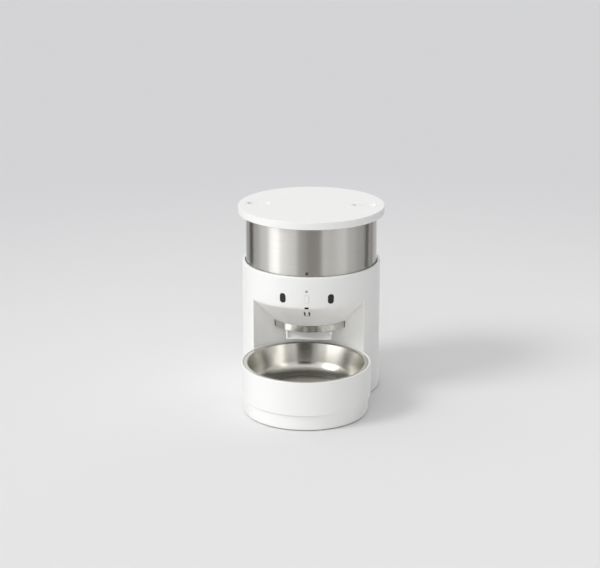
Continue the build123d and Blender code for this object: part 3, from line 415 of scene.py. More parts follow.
def plate(
    name: str,
    width: float,
    height: float,
    corner: float,
    depth: float,
    bend: float = 0.0,
    rounding: float = 0.0,
    flare: float = 0.0,
    rise: float = 0.0,
    corner_steps: int = 8,
) -> Workpiece:
    """Round-cornered plate in XY, with its face at z = 0 and its back below it.

    Args:
        name: name of the piece.
        width: size along X, measured along the face.
        height: size along Y.
        corner: radius of the outline's corners.
        depth: thickness.
        bend: radius of the face where it is curved about Y, or 0 where it is flat.
        rounding: radius of the edge round the face.
        flare: how far the outline widens above the face, as for a cutter that leaves a chamfer.
        rise: height over which it widens, if that is not the same.
        corner_steps: facets round each corner.

    Returns:
        The plate.
    """
    almost = 0.9999             # of the corner's radius, so that a half-round end keeps its edge
    strip = 2.5                 # width of the strips that a bent plate is made of
    piece = Workpiece.added(name, bpy.ops.mesh.primitive_plane_add, size=MM)
    with piece.editing():
        bpy.ops.transform.resize(value=(width, height, 1), center_override=(0, 0, 0))
        bpy.ops.mesh.bevel(affect="VERTICES", offset=corner * almost * MM, segments=corner_steps)
        if bend:
            count = int(width / strip)
            for column in range(1, count):
                line = ((column / count - 0.5) * width * MM, 0, 0)
                bpy.ops.mesh.select_all(action="SELECT")
                bpy.ops.mesh.bisect(plane_co=line, plane_no=(1, 0, 0))
        bpy.ops.mesh.select_all(action="SELECT")
        bpy.ops.mesh.extrude_region_move(TRANSFORM_OT_translate={"value": (0, 0, -depth * MM)})
        bpy.ops.mesh.select_all(action="SELECT")
        bpy.ops.mesh.remove_doubles(threshold=SAME * MM)
        bpy.ops.mesh.normals_make_consistent(inside=False)
        if rounding:
            piece.round_edges(rim_edge(0), rounding)
        if flare:
            piece.pick(Pick.FACE, lambda face: face.normal.z > LEVEL)
            spread = ((width + 2 * flare) / width, (height + 2 * flare) / height, 1)
            lift = {"value": (0, 0, (rise or flare) * MM)}
            bpy.ops.mesh.extrude_region_move(TRANSFORM_OT_translate=lift)
            bpy.ops.transform.resize(value=spread, center_override=(0, 0, 0))
    if bend:
        upright = Matrix.Rotation(pi / 2, 4, "X")
        angle = (width + 2 * flare) / bend
        piece.place(upright)
        piece.apply("SIMPLE_DEFORM", deform_method="BEND", deform_axis="Z", angle=angle)
        piece.place(upright.inverted())
    return piece


def block(name: str, low: tuple[float, float, float], high: tuple[float, float, float]) -> Workpiece:
    """Makes a rectangular block, used to cut notches and as the start of a fin.

    Args:
        name: name of the piece.
        low: its lowest corner.
        high: its highest corner.

    Returns:
        The block.
    """
    middle = [(a + b) / 2 * MM for a, b in zip(low, high)]
    size = [(b - a) * MM for a, b in zip(low, high)]
    return Workpiece.added(name, bpy.ops.mesh.primitive_cube_add, size=1, location=middle, scale=size)


def around(axis_y: float, radius: float, turn: float) -> tuple[float, float]:
    """Place round an upright axis, as X and Y, at an angle in radians from the front."""
    return radius * sin(turn), axis_y - radius * cos(turn)


def facing(angle: float, radius: float, height: float, axis_y: float) -> Matrix:
    """Finds the place of a plate that faces outwards from an upright cylinder.

    Args:
        angle: degrees from the front, towards +X.
        radius: distance from the axis.
        height: height of the plate's centre.
        axis_y: place of the axis.

    Returns:
        The matrix in metres, with the plate's X along the tangent and its Y upwards.
    """
    turn = radians(angle)
    place = Vector((*around(axis_y, radius, turn), height)) * MM
    axes = Matrix(((cos(turn), 0, sin(turn)), (sin(turn), 0, -cos(turn)), (0, 1, 0)))
    return Matrix.Translation(place) @ axes.to_4x4()


# ---------------------------------------------------------------- finishes
def linear(code: str) -> tuple[float, float, float, float]:
    """Turns an sRGB colour such as "#E9E9E6" into linear RGBA.

    Args:
        code: the colour in hex.

    Returns:
        Red, green, blue and an alpha of 1.
    """
    parts = [int(code[place : place + 2], 16) / 255 for place in (1, 3, 5)]
    red, green, blue = (p / 12.92 if p <= 0.04045 else ((p + 0.055) / 1.055) ** 2.4 for p in parts)
    return red, green, blue, 1.0


def add_node(
    material: bpy.types.ID, kind: str, links: dict[object, object], **settings: object
) -> bpy.types.Node:
    """Adds a node to a material or the world.

    Args:
        material: the material, or the world.
        kind: the node's type, without its "ShaderNode" prefix.
        links: for each input's name or number, its value or the output socket that feeds it.
        settings: the node's properties.

    Returns:
        The node.
    """
    node = material.node_tree.nodes.new("ShaderNode" + kind)
    for name, value in settings.items():
        setattr(node, name, value)
    for socket, value in links.items():
        if isinstance(value, bpy.types.NodeSocket):
            material.node_tree.links.new(value, node.inputs[socket])
        else:
            node.inputs[socket].default_value = value
    return node


def blank(kind: bpy.types.bpy_prop_collection, name: str) -> bpy.types.ID:
    """Makes a material or a world that has no nodes yet.

    Args:
        kind: Blender's materials, or its worlds.
        name: its name.

    Returns:
        The material or the world.
    """
    made = kind.new(name)
    made.use_nodes = True
    made.node_tree.nodes.clear()
    return made


@dataclass(frozen=True)
class Finish:
    """A surface finish: what it is made of and how its surface was made."""

    name: str
    colour: str
    shade: str                  # the colour where it varies
    roughness: float
    uneven: float               # how much the roughness varies, up and down

    def material(self) -> bpy.types.Material:
        """Gives the finish's material, made the first time it is asked for."""
        known = bpy.data.materials.get(self.name)
        if known:
            return known
        material = blank(bpy.data.materials, self.name)
        shader = self.surface(material)
        add_node(material, "OutputMaterial", {"Surface": shader.outputs["BSDF"]})
        return material

    def surface(self, material: bpy.types.Material) -> bpy.types.Node:
        """Makes the shader and its pattern.

        Args:
            material: the material that gets them.

        Returns:
            The shader.
        """
        raise NotImplementedError

    def place(self, material: bpy.types.Material, centre_y: float = 0.0) -> bpy.types.NodeSocket:
        """Gives the place on the piece in metres.

        Args:
            material: the material.
            centre_y: place of the upright axis that it is measured from.

        Returns:
            The place's socket.
        """
        place = add_node(material, "TexCoord", {}).outputs["Object"]
        shift = (0, -centre_y * MM, 0)
        return add_node(material, "Mapping", {"Vector": place, "Location": shift}).outputs["Vector"]

    def shader(
        self,
        material: bpy.types.Material,
        pattern: bpy.types.NodeSocket,
        inputs: dict[str, object],
        height: bpy.types.NodeSocket | None = None,
        relief: float = 0.0,
        strength: float = 0.5,
    ) -> bpy.types.Node:
        """Makes the shader, whose colour and roughness vary with a pattern.

        Args:
            material: the material.
            pattern: a socket that runs from 0 to 1.
            inputs: the shader's inputs that are particular to the finish.
            height: the socket of its relief, if it has any.
            relief: height of the relief in mm.
            strength: how much of the relief shows.

        Returns:
            The shader.
        """
        colours = {0: pattern, 6: linear(self.shade), 7: linear(self.colour)}
        limits = {"Value": pattern, 3: self.roughness - self.uneven, 4: self.roughness + self.uneven}
        common = {
            "Base Color": add_node(material, "Mix", colours, data_type="RGBA").outputs[2],
            "Roughness": add_node(material, "MapRange", limits).outputs["Result"],
        }
        if height:
            bumps = {"Height": height, "Distance": relief * MM, "Strength": strength}
            common["Normal"] = add_node(material, "Bump", bumps).outputs["Normal"]
        return add_node(material, "BsdfPrincipled", common | inputs)


@dataclass(frozen=True)
class MouldedPlastic(Finish):
    """Injection-moulded plastic: even colour, with the fine grain of a blasted mould."""

    grain: float = 0.5          # size of the mould's grain in mm, drawn coarse enough to show
    relief: float = 0.006       # height of the grain in mm
    flow: float = 45.0          # size in mm of the faint clouds that the melt's flow leaves

    def surface(self, material: bpy.types.Material) -> bpy.types.Node:
        """Makes the plastic."""
        place = self.place(material)
        clouds = {"Vector": place, "Scale": 1 / (self.flow * MM), "Detail": 3.0}
        flow = add_node(material, "TexNoise", clouds).outputs["Fac"]
        grains = {"Vector": place, "Scale": 1 / (self.grain * MM), "Detail": 2.0}
        grain = add_node(material, "TexNoise", grains).outputs["Fac"]
        return self.shader(material, flow, {"IOR": 1.49}, grain, self.relief, strength=0.6)


@dataclass(frozen=True)
class BrushedMetal(Finish):
    """Sheet or turned metal with fine lines round an upright axis, which spread its reflections."""

    axis_y: float = 0.0
    line: float = 0.35          # width of a brush line in mm, drawn coarse enough to show
    streak: float = 60.0        # length of a brush line in mm
    relief: float = 0.002
    anisotropy: float = 0.6

    def surface(self, material: bpy.types.Material) -> bpy.types.Node:
        """Makes the metal."""
        place = self.place(material, self.axis_y)
        parts = add_node(material, "SeparateXYZ", {"Vector": place}).outputs
        flat = add_node(material, "CombineXYZ", {"X": parts["X"], "Y": parts["Y"]}).outputs["Vector"]
        radius = add_node(material, "VectorMath", {0: flat}, operation="LENGTH").outputs["Value"]
        across = add_node(material, "Math", {0: radius, 1: parts["Z"]}, operation="ADD").outputs[0]
        spread = {"X": parts["X"], "Y": parts["Y"], "Z": across}
        rings = add_node(material, "CombineXYZ", spread).outputs["Vector"]
        scale = (1 / (self.streak * MM), 1 / (self.streak * MM), 1 / (self.line * MM))
        lines = add_node(material, "Mapping", {"Vector": rings, "Scale": scale}).outputs["Vector"]
        brush = add_node(material, "TexNoise", {"Vector": lines, "Scale": 1.0, "Detail": 3.0})
        tangent = add_node(material, "Tangent", {}, direction_type="RADIAL", axis="Z")
        metal = {
            "Metallic": 1.0,
            "Anisotropic": self.anisotropy,
            "Anisotropic Rotation": 0.25,   # of a full turn, so that highlights spread across the lines
            "Tangent": tangent.outputs["Tangent"],
        }
        return self.shader(material, brush.outputs["Fac"], metal, brush.outputs["Fac"], self.relief)


@dataclass(frozen=True)
class PlainMetal(Finish):
    """Drawn, plated or sintered metal without a brushed direction."""

    grain: float = 0.6          # size of its grain in mm, drawn coarse enough to show
    relief: float = 0.004

    def surface(self, material: bpy.types.Material) -> bpy.types.Node:
        """Makes the metal."""
        scale = 1 / (self.grain * MM)
        noise = add_node(material, "TexNoise", {"Vector": self.place(material), "Scale": scale})
        grain = noise.outputs["Fac"]
        return self.shader(material, grain, {"Metallic": 1.0}, grain, self.relief)


@dataclass(frozen=True)
class CircuitBoard(Finish):
    """Glass-epoxy board under solder mask, with copper tracks that show through it."""

    cell: float = 7.2           # size in mm of the fields between the tracks
    track: float = 0.04         # half of a track's width, as a share of a field
    soft: float = 0.03          # run of a track's edge, as such a share

    def surface(self, material: bpy.types.Material) -> bpy.types.Node:
        """Makes the board."""
        cells = {"Vector": self.place(material), "Scale": 1 / (self.cell * MM)}
        edges = add_node(material, "TexVoronoi", cells, feature="DISTANCE_TO_EDGE", distance="MANHATTAN")
        steps = {"Value": edges.outputs["Distance"], 1: self.track, 2: self.track + self.soft}
        tracks = add_node(material, "MapRange", steps).outputs["Result"]
        return self.shader(material, tracks, {"IOR": 1.5})


@dataclass(frozen=True)
class Fabric(Finish):
    """Non-woven fabric: short fibres pressed together, with bonded dots."""

    dot: float = 1.4            # spacing of the dots in mm
    relief: float = 0.1

    def surface(self, material: bpy.types.Material) -> bpy.types.Node:
        """Makes the fabric."""
        cells = {"Vector": self.place(material), "Scale": 1 / (self.dot * MM)}
        dots = add_node(material, "TexVoronoi", cells).outputs["Distance"]
        return self.shader(material, dots, {"Sheen Weight": 0.3}, dots, self.relief, strength=0.6)


@dataclass(frozen=True)
class FrostedLens(Finish):
    """Clear plastic with a frosted face, which lets a little of the light behind it through."""

    frost: float = 0.8          # size of the frosting's grain in mm, drawn coarse enough to show

    def surface(self, material: bpy.types.Material) -> bpy.types.Node:
        """Makes the lens."""
        frost = {"Vector": self.place(material), "Scale": 1 / (self.frost * MM)}
        haze = add_node(material, "TexNoise", frost).outputs["Fac"]
        return self.shader(material, haze, {"Transmission Weight": 0.5, "IOR": 1.49})


BODY_Y = Extent.of("lid_cover").middle.y
BOWL_Y = Extent.of("stand_ring").middle.y
RECESS_GAP = 1.4            # between the bowl stand and the recess behind it
RECESS_WALL = 2.2
RECESS_RADIUS = Extent.of("stand_ring").radius + RECESS_GAP
PANEL_RADIUS = RECESS_RADIUS + RECESS_WALL

# the same satin white moulding for all outer parts: light, neutral, with a soft sheen
WHITE = MouldedPlastic("satin_white_abs", "#F3F3F2", "#EFEFEE", 0.36, 0.04)

FINISH_OF_SLOT: dict[str, Finish] = {
    **dict.fromkeys(("white_shell", "white_lid", "white_stand", "white_button"), WHITE),
    # the same plastic in the recess, painted a touch lighter than the white outside: painted light that
    # brightens the shaded recess
    "white_panel": MouldedPlastic("light_white_abs", "#FBFBFA", "#F8F8F7", 0.34, 0.04),
    # bare steel sheet, brushed round the hopper: a warm grey that goes dark where it faces dark
    "brushed_hopper": BrushedMetal(
        "brushed_steel_sheet", "#CECCC9", "#BCBAB6", 0.30, 0.05, axis_y=BODY_Y, anisotropy=0.85
    ),
    # spun and polished steel: clearer reflections than the hopper's, in the same warm grey
    "polished_bowl": BrushedMetal(
        "spun_steel", "#D9D7D1", "#CDCBC4", 0.24, 0.03, axis_y=BOWL_Y, line=0.6, anisotropy=0.4
    ),
    # polished ring round the outlet: hard dark and bright bands
    "metal_ring": BrushedMetal(
        "polished_steel", "#D2D0CC", "#C8C6C2", 0.16, 0.02, axis_y=BODY_Y, line=0.5, anisotropy=0.3
    ),
    # dark window that only infrared passes: black and glossy
    "black_window": MouldedPlastic("infrared_black_window", "#17171A", "#0F0F11", 0.10, 0.02, relief=0.0),
    # rubber dot: a matt dark grey beside the steel and the white
    "dark_mark": MouldedPlastic("dark_rubber", "#4A4A4C", "#404042", 0.55, 0.05),
    # soft rubber of the pads: nearly black and quite matt
    "rubber_pad": MouldedPlastic("black_rubber", "#26272A", "#1F2022", 0.75, 0.05, grain=0.3, relief=0.02),
    # silicone: a cool pale grey with a dull skin
    "silicone_seal": MouldedPlastic("grey_silicone", "#C9CDD0", "#BEC2C5", 0.55, 0.04),
    # frosted lens: a greyish spot in the white, since the lamp is off
    "clear_diffuser": FrostedLens("frosted_lens", "#C4C8C4", "#B4B8B4", 0.45, 0.05),
    # inner mouldings: a plain mid grey that sets them off from the white outside
    "grey_frame": MouldedPlastic("grey_frame_abs", "#B9BCBE", "#AEB1B3", 0.50, 0.05),
    # solder mask: deep green, lighter over the copper
    "green_board": CircuitBoard("green_circuit_board", "#1F5B3A", "#2C7A4C", 0.35, 0.08),
    # moulded epoxy of the components: black with a faint sheen
    "black_component": MouldedPlastic("black_component", "#222326", "#1A1B1D", 0.50, 0.06),
    # sintered bronze: brown gold, dulled by its pores
    "brass_bush": PlainMetal("sintered_bronze", "#B08A52", "#8F6C3C", 0.45, 0.08),
    # undyed nylon: ivory
    "nylon_gear": MouldedPlastic("natural_nylon", "#E6E2D2", "#DAD5C2", 0.45, 0.05),
    # zinc plate: bright, with a slight blue cast
    "zinc_screw": PlainMetal("zinc_plated_screw", "#C9CCD0", "#B2B6BC", 0.28, 0.06, grain=0.4),
    # ground steel: the clearest reflections of the inner metals
    "steel_shaft": PlainMetal("ground_steel_shaft", "#C6C8CA", "#B6B8BB", 0.18, 0.04, grain=0.3),
    # drawn steel can: softer reflections with the marks of the draw
    "motor_can": PlainMetal("drawn_motor_can", "#B4B7BA", "#A2A5A9", 0.30, 0.06, grain=1.2),
    # shrunk sleeve of the cells: slate blue and smooth
    "cell_wrap": MouldedPlastic("cell_sleeve", "#3E6E8E", "#35607D", 0.30, 0.05),
    # nickel plate: bright with a yellowish cast
    "nickel_contact": PlainMetal("nickel_contact", "#D0CFC9", "#BDBBB3", 0.22, 0.05),
    # rotor: a darker grey than the frame's, matt from its textured mould
    "grey_rotor": MouldedPlastic("grey_rotor_abs", "#A9ACAE", "#9DA0A2", 0.55, 0.05),
    # liner: a slightly darker and duller white than the cover over it
    "lid_inner": MouldedPlastic("off_white_liner", "#E3E3DF", "#D9D9D4", 0.50, 0.05),
    # spring wire: oiled, darker grey steel
    "spring_steel": PlainMetal("spring_wire", "#A8AAAD", "#8F9194", 0.25, 0.05, grain=0.2),
    # fabric of the desiccant bag: off-white, wholly matt, with pressed dots
    "desiccant_fabric": Fabric("sachet_fabric", "#F1F0EA", "#DCDAD0", 0.90, 0.05),
}


# ---------------------------------------------------------------- sub-assemblies
class SubAssembly:
    """Pieces that stand for CAD nodes, all made by build()."""

    def build(self) -> None:
        """Makes the pieces."""
        raise NotImplementedError

    def stand_for(self, piece: Workpiece, node: str) -> None:
        """Finishes a piece and lets it take a node's place, finish and body.

        Args:
            piece: the piece, in place.
            node: the CAD node that it stands for.
        """
        piece.shade()
        slot = Roster.slot[node]
        piece.obj.data.materials.clear()
        piece.obj.data.materials.append(FINISH_OF_SLOT[slot].material())
        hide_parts(node)
        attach(piece.obj, Roster.body[node])
        logger.info("%s: %s on %s", type(self).__name__, piece.obj.name, Roster.body[node])


@dataclass
class Lid(SubAssembly):
    """Lid cover with two dished push buttons that draw the catches in."""

    skin: float = 3.0
    rim_wall: float = 2.6
    inner_round: float = 0.3
    top_round: float = 1.1
    bottom_round: float = 0.8
    boss_radius: float = 3.0
    boss_hole: float = 1.6
    boss_ring: float = 98.45
    boss_count: int = 6
    boss_sides: int = 32
    press_place: float = 75.5   # from the lid's axis, left and right
    press_length: float = 35.4
    press_width: float = 15.4
    press_plate: float = 3.0
    press_gap: float = 0.3
    press_edge: float = 0.5
    press_sink: float = 0.1     # below the lid's top
    press_steps: int = 16       # facets round each of its corners
    slot_chamfer: float = 0.35
    slot_past: float = 0.1      # how far the slot's cutter stands above the lid
    dish_depth: float = 2.5
    dish_margin: float = 1.0
    dish_wall: float = 0.4      # run of the dish's sloped wall
    dish_film: float = 0.05     # thickness of its cutter below the dish's floor
    dish_past: float = 1.1      # size of its cutter above the floor, against the dish's own depth
    core_place: float = 71.0
    core_length: float = 26.0
    core_width: float = 13.0
    core_sink: float = 0.4      # how far the core reaches into the plate
    fin_place: float = 76.0
    fin_wall: float = 2.0
    fin_width: float = 4.0
    fin_sink: float = 0.5       # how far the fin reaches into the core
    fin_below: float = 0.7      # how far its tip reaches below the catch

    def build(self) -> None:
        """Makes the cover and its buttons."""
        self.cover = Extent.of("lid_cover")
        self.stand_for(self.cover_shell(), "lid_cover")
        for side, name in ((-1, "left"), (1, "right")):
            self.stand_for(self.button(side, name), f"lid_button_{name}")

    def cover_shell(self) -> Workpiece:
        """Turns the cover, opens its slots and welds the screw bosses under its skin."""
        outside = self.cover.radius
        inside = outside - self.rim_wall
        top = self.cover.high.z
        bottom = self.cover.low.z
        under_skin = top - self.skin
        section = [
            Corner(inside, under_skin),
            Corner(inside, bottom, self.inner_round),
            Corner(outside, bottom, self.bottom_round),
            Corner(outside, top, self.top_round),
        ]
        cover = turned("lid_cover_moulding", BODY_Y, section, soft=5)
        length = self.press_length + 2 * self.press_gap
        width = self.press_width + 2 * self.press_gap
        flare = self.slot_chamfer + self.slot_past
        for side in (-1, 1):
            slot = plate("slot", length, width, width / 2, 2 * self.skin, flare=flare)
            slot.moved(side * self.press_place, BODY_Y, top - self.slot_chamfer)
            cover.combine(Join.CUT, slot)
        seat = Extent.of("lid_liner").high.z
        ring = tube_section(self.boss_hole, self.boss_radius, seat, under_skin + SINK)
        for index in range(self.boss_count):
            across, along = around(BODY_Y, self.boss_ring, 2 * pi * index / self.boss_count)
            boss = turned("boss", along, ring, hollow=True, sides=self.boss_sides, axis_x=across)
            cover.combine(Join.WELD, boss)
        return cover

    def button(self, side: int, name: str) -> Workpiece:
        """Cuts a dish for the finger into a rounded plate and adds its core and its sloped fin.

        Args:
            side: -1 for the left button and 1 for the right one.
            name: left or right.

        Returns:
            The button.
        """
        top = self.cover.high.z - self.press_sink
        middle = side * self.press_place
        button = plate(
            f"dished_button_{name}",
            self.press_length,
            self.press_width,
            self.press_width / 2,
            self.press_plate,
            rounding=self.press_edge,
            corner_steps=self.press_steps,
        )
        inset = 2 * (self.dish_margin + self.dish_wall)
        width = self.press_width - inset
        dish = plate(
            "dish",
            self.press_length - inset,
            width,
            width / 2,
            self.dish_film,
            flare=self.dish_wall * self.dish_past,
            rise=self.dish_depth * self.dish_past,
            corner_steps=self.press_steps,
        )
        dish.moved(middle, BODY_Y, top - self.dish_depth)
        button.moved(middle, BODY_Y, top).combine(Join.CUT, dish)
        core_top = top - self.press_plate + self.core_sink
        core_bottom = Extent.of(f"lid_button_{name}").low.z + self.fin_drop()
        core = plate("core", self.core_length, self.core_width, self.core_width / 2, core_top - core_bottom)
        core.moved(side * self.core_place, BODY_Y, core_top)
        return button.combine(Join.WELD, core, self.fin(side, core_bottom))

    def fin_drop(self) -> float:
        """How far the fin reaches below the core."""
        return Extent.of("lid_catch_left").height + self.fin_below

    def fin(self, side: int, core_bottom: float) -> Workpiece:
        """Makes the fin, whose sloped side draws the catch inwards.

        Args:
            side: -1 for the left button and 1 for the right one.
            core_bottom: height of the core's lower face.

        Returns:
            The fin.
        """
        top = core_bottom + self.fin_sink
        bottom = core_bottom - self.fin_drop()
        places = sorted((side * self.fin_place, side * (self.fin_place + self.fin_wall)))
        half = self.fin_width / 2
        fin = block("fin", (places[0], BODY_Y - half, bottom), (places[1], BODY_Y + half, top))
        inner = min(places, key=abs)
        with fin.editing():
            fin.pick(Pick.VERT, lambda v: abs(v.co.x / MM - inner) < SAME and v.co.z / MM > top - SAME)
            bpy.ops.transform.translate(value=(-side * (top - bottom) * MM, 0, 0))
        return fin


@dataclass
class Hopper(SubAssembly):
    """Steel tube of the lift-out hopper, with the dot that shows which way it goes in."""

    wall: float = 0.8
    edge: float = 0.25
    dot_radius: float = 2.3
    dot_thickness: float = 0.5
    dot_edge: float = 0.25

    def build(self) -> None:
        """Makes the tube and the dot."""
        tube = Extent.of("hopper_tube")
        edges = (0, self.edge, self.edge, self.edge)
        section = tube_section(tube.radius - self.wall, tube.radius, tube.low.z, tube.high.z, edges)
        self.stand_for(turned("steel_tube", BODY_Y, section, hollow=True, soft=2), "hopper_tube")
        width = 2 * self.dot_radius
        thick = self.dot_thickness
        dot = plate("orientation_dot", width, width, self.dot_radius, thick, rounding=self.dot_edge)
        face = tube.radius + thick
        dot.place(facing(0, face, Extent.of("hopper_dot").middle.z, BODY_Y))
        self.stand_for(dot, "hopper_dot")


@dataclass(frozen=True)
class Fitting:
    """Round-cornered fitting in the housing's curved wall, and the hole it sits in."""

    node: str
    name: str
    angle: float                # degrees from the front
    place_z: float
    width: float
    height: float
    corner: float
    proud: float = 0.0          # its face, beyond the wall's
    depth: float = 2.5
    gap: float = 0.1            # clearance all round it
    rounding: float = 0.5

    def hole(self, wall_radius: float, depth: float, chamfer: float) -> Workpiece:
        """Makes the cutter of the hole, which leaves a chamfer at the outer face.

        Args:
            wall_radius: outside radius of the wall.
            depth: how far the cutter reaches inwards.
            chamfer: width of the chamfer.

        Returns:
            The cutter, in place.
        """
        past = 0.1
        face = wall_radius - chamfer
        flare = chamfer + past
        cutter = plate("cutter", self.width, self.height, self.corner, depth, bend=face, flare=flare)
        return cutter.place(facing(self.angle, face, self.place_z, BODY_Y))

    def filler(self, wall_radius: float) -> Workpiece:
        """Makes the fitting itself.

        Args:
            wall_radius: outside radius of the wall.

        Returns:
            The fitting, in place.
        """
        face = wall_radius + self.proud
        piece = plate(
            self.name,
            self.width - 2 * self.gap,
            self.height - 2 * self.gap,
            self.corner - self.gap,
            self.depth,
            bend=face,
            rounding=self.rounding,
            corner_steps=12,
        )
        return piece.place(facing(self.angle, face, self.place_z, BODY_Y))


@dataclass
class Housing(SubAssembly):
    """Round housing, open at the front below its band, with what shows in the band and at the back."""

    wall: float = 2.5
    mouth_wall: float = 3.85
    lip_depth: float = 6.0
    rim_round: float = 2.0
    edge_round: float = 0.5
    over_band: float = 4.5      # where the wall above the opening starts
    opening_round: float = 0.7
    opening_gap: float = 0.1
    chamfer: float = 0.25
    post_radius: float = 5.0
    post_hole: float = 1.6
    post_inset: float = 4.4
    post_sides: int = 40
    post_angles: tuple[float, ...] = (64, 118, 242, 296)
    door: Fitting = Fitting("battery_door", "battery_door_moulding", 180, 44.0, 114.0, 64.0, 6.0, gap=0.3)
    dip_radius: float = 7.0
    dip_depth: float = 1.6
    dip_stretch: float = 2.2
    dip_below: float = 10.0     # from the top of the door's hole
    inlet_angle: float = 130.0
    inlet_radius: float = 5.1
    window: Fitting = Fitting(
        "sensor_window_left",
        "dark_window_left",
        angle=-19.9,
        place_z=157.6,
        width=8.8,
        height=13.9,
        corner=3.9,
        proud=-0.25,
        depth=3.6,
        rounding=0.25,
    )
    slit: Fitting = Fitting(
        "infrared_window", "infrared_pane", 0, 144.8, 6.0, 2.8, 0.9, proud=-0.2, depth=4.0, rounding=0.1
    )
    in_band: tuple[Fitting, ...] = (
        window,
        replace(window, node="sensor_window_right", name="dark_window_right", angle=19.9),
        Fitting("feed_button", "pill_button", 0, 157.9, 6.8, 13.4, 3.4, proud=0.15, depth=5.0, gap=0.2),
        Fitting("led_pipe", "status_lens", 0, 169.2, 3.2, 3.2, 1.6, proud=0.1, depth=8.0, rounding=0.3),
        slit,
    )

    def build(self) -> None:
        """Makes the shell and its fittings."""
        self.shell = Extent.of("housing_shell")
        self.outside = self.shell.radius
        self.stand_for(self.moulding(), "housing_shell")
        for fitting in self.in_band:
            self.stand_for(fitting.filler(self.outside), fitting.node)
        self.stand_for(self.battery_door(), self.door.node)

    def moulding(self) -> Workpiece:
        """Turns the shell, opens its front and its holes, and adds the posts inside."""
        top = self.shell.high.z
        bottom = self.shell.low.z
        inside = self.outside - self.wall
        mouth = self.outside - self.mouth_wall
        lip = top - self.lip_depth
        band = Extent.of("alcove_panel").high.z
        section = [
            Corner(inside, bottom),
            Corner(self.outside, bottom, self.edge_round),
            Corner(self.outside, (bottom + band) / 2),
            Corner(self.outside, band + self.over_band),
            Corner(self.outside, top, self.rim_round),
            Corner(mouth, top, self.edge_round),
            Corner(mouth, lip),
            Corner(inside, lip),
        ]
        shell = turned("housing_moulding", BODY_Y, section, hollow=True, soft=5)
        recess = PANEL_RADIUS + self.opening_gap
        shell.combine(Join.CUT, disc("recess", BOWL_Y, recess, 0, band))
        with shell.editing():
            shell.round_edges(self.on_opening(band, recess), self.opening_round)
        socket_z = Extent.of("power_socket").middle.z
        bore = 2 * self.inlet_radius
        inlet = Fitting("power_socket", "inlet", self.inlet_angle, socket_z, bore, bore, self.inlet_radius)
        for fitting in (*self.in_band, self.door, inlet):
            shell.combine(Join.CUT, fitting.hole(self.outside, 2 * self.wall, self.chamfer))
        floor = Extent.of("base_plate").high.z
        tube = tube_section(self.post_hole, self.post_radius, floor, Extent.of("deck").low.z)
        for angle in self.post_angles:
            across, along = around(BODY_Y, inside - self.post_inset, radians(angle))
            post = turned("post", along, tube, hollow=True, sides=self.post_sides, axis_x=across)
            shell.combine(Join.WELD, post)
        return shell

    def on_opening(self, band: float, recess: float) -> Callable[[Edge], bool]:
        """Makes the test for the outer edges of the front opening: the band's and both sides'.

        Args:
            band: height of the band's lower edge.
            recess: radius of the opening, round the bowl's axis.

        Returns:
            The test.
        """
        reach = 0.03

        def test(edge: Edge) -> bool:
            """Tells whether an edge is an outer one of the opening."""
            places = [vert.co / MM for vert in edge.verts]
            outer = all(abs(hypot(p.x, p.y - BODY_Y) - self.outside) < reach for p in places)
            across = [hypot(p.x, p.y - BOWL_Y) - recess for p in places]
            rise = [p.z - band for p in places]
            side = all(abs(gap) < reach for gap in across) and all(gap < reach for gap in rise)
            under = all(abs(gap) < reach for gap in rise) and all(gap < reach for gap in across)
            return outer and (side or under)

        return test

    def battery_door(self) -> Workpiece:
        """Bends the door to the housing's back and cuts a finger dip into it."""
        place = (
            0,
            (BODY_Y + self.outside + self.dip_radius - self.dip_depth) * MM,
            (self.door.place_z + self.door.height / 2 - self.dip_below) * MM,
        )
        ball = Workpiece.added(
            "dip",
            bpy.ops.mesh.primitive_uv_sphere_add,
            segments=64,
            ring_count=32,
            radius=self.dip_radius * MM,
            location=place,
        )
        with ball.editing():
            bpy.ops.transform.resize(value=(self.dip_stretch, 1, 1), center_override=place)
        return self.door.filler(self.outside).combine(Join.CUT, ball)


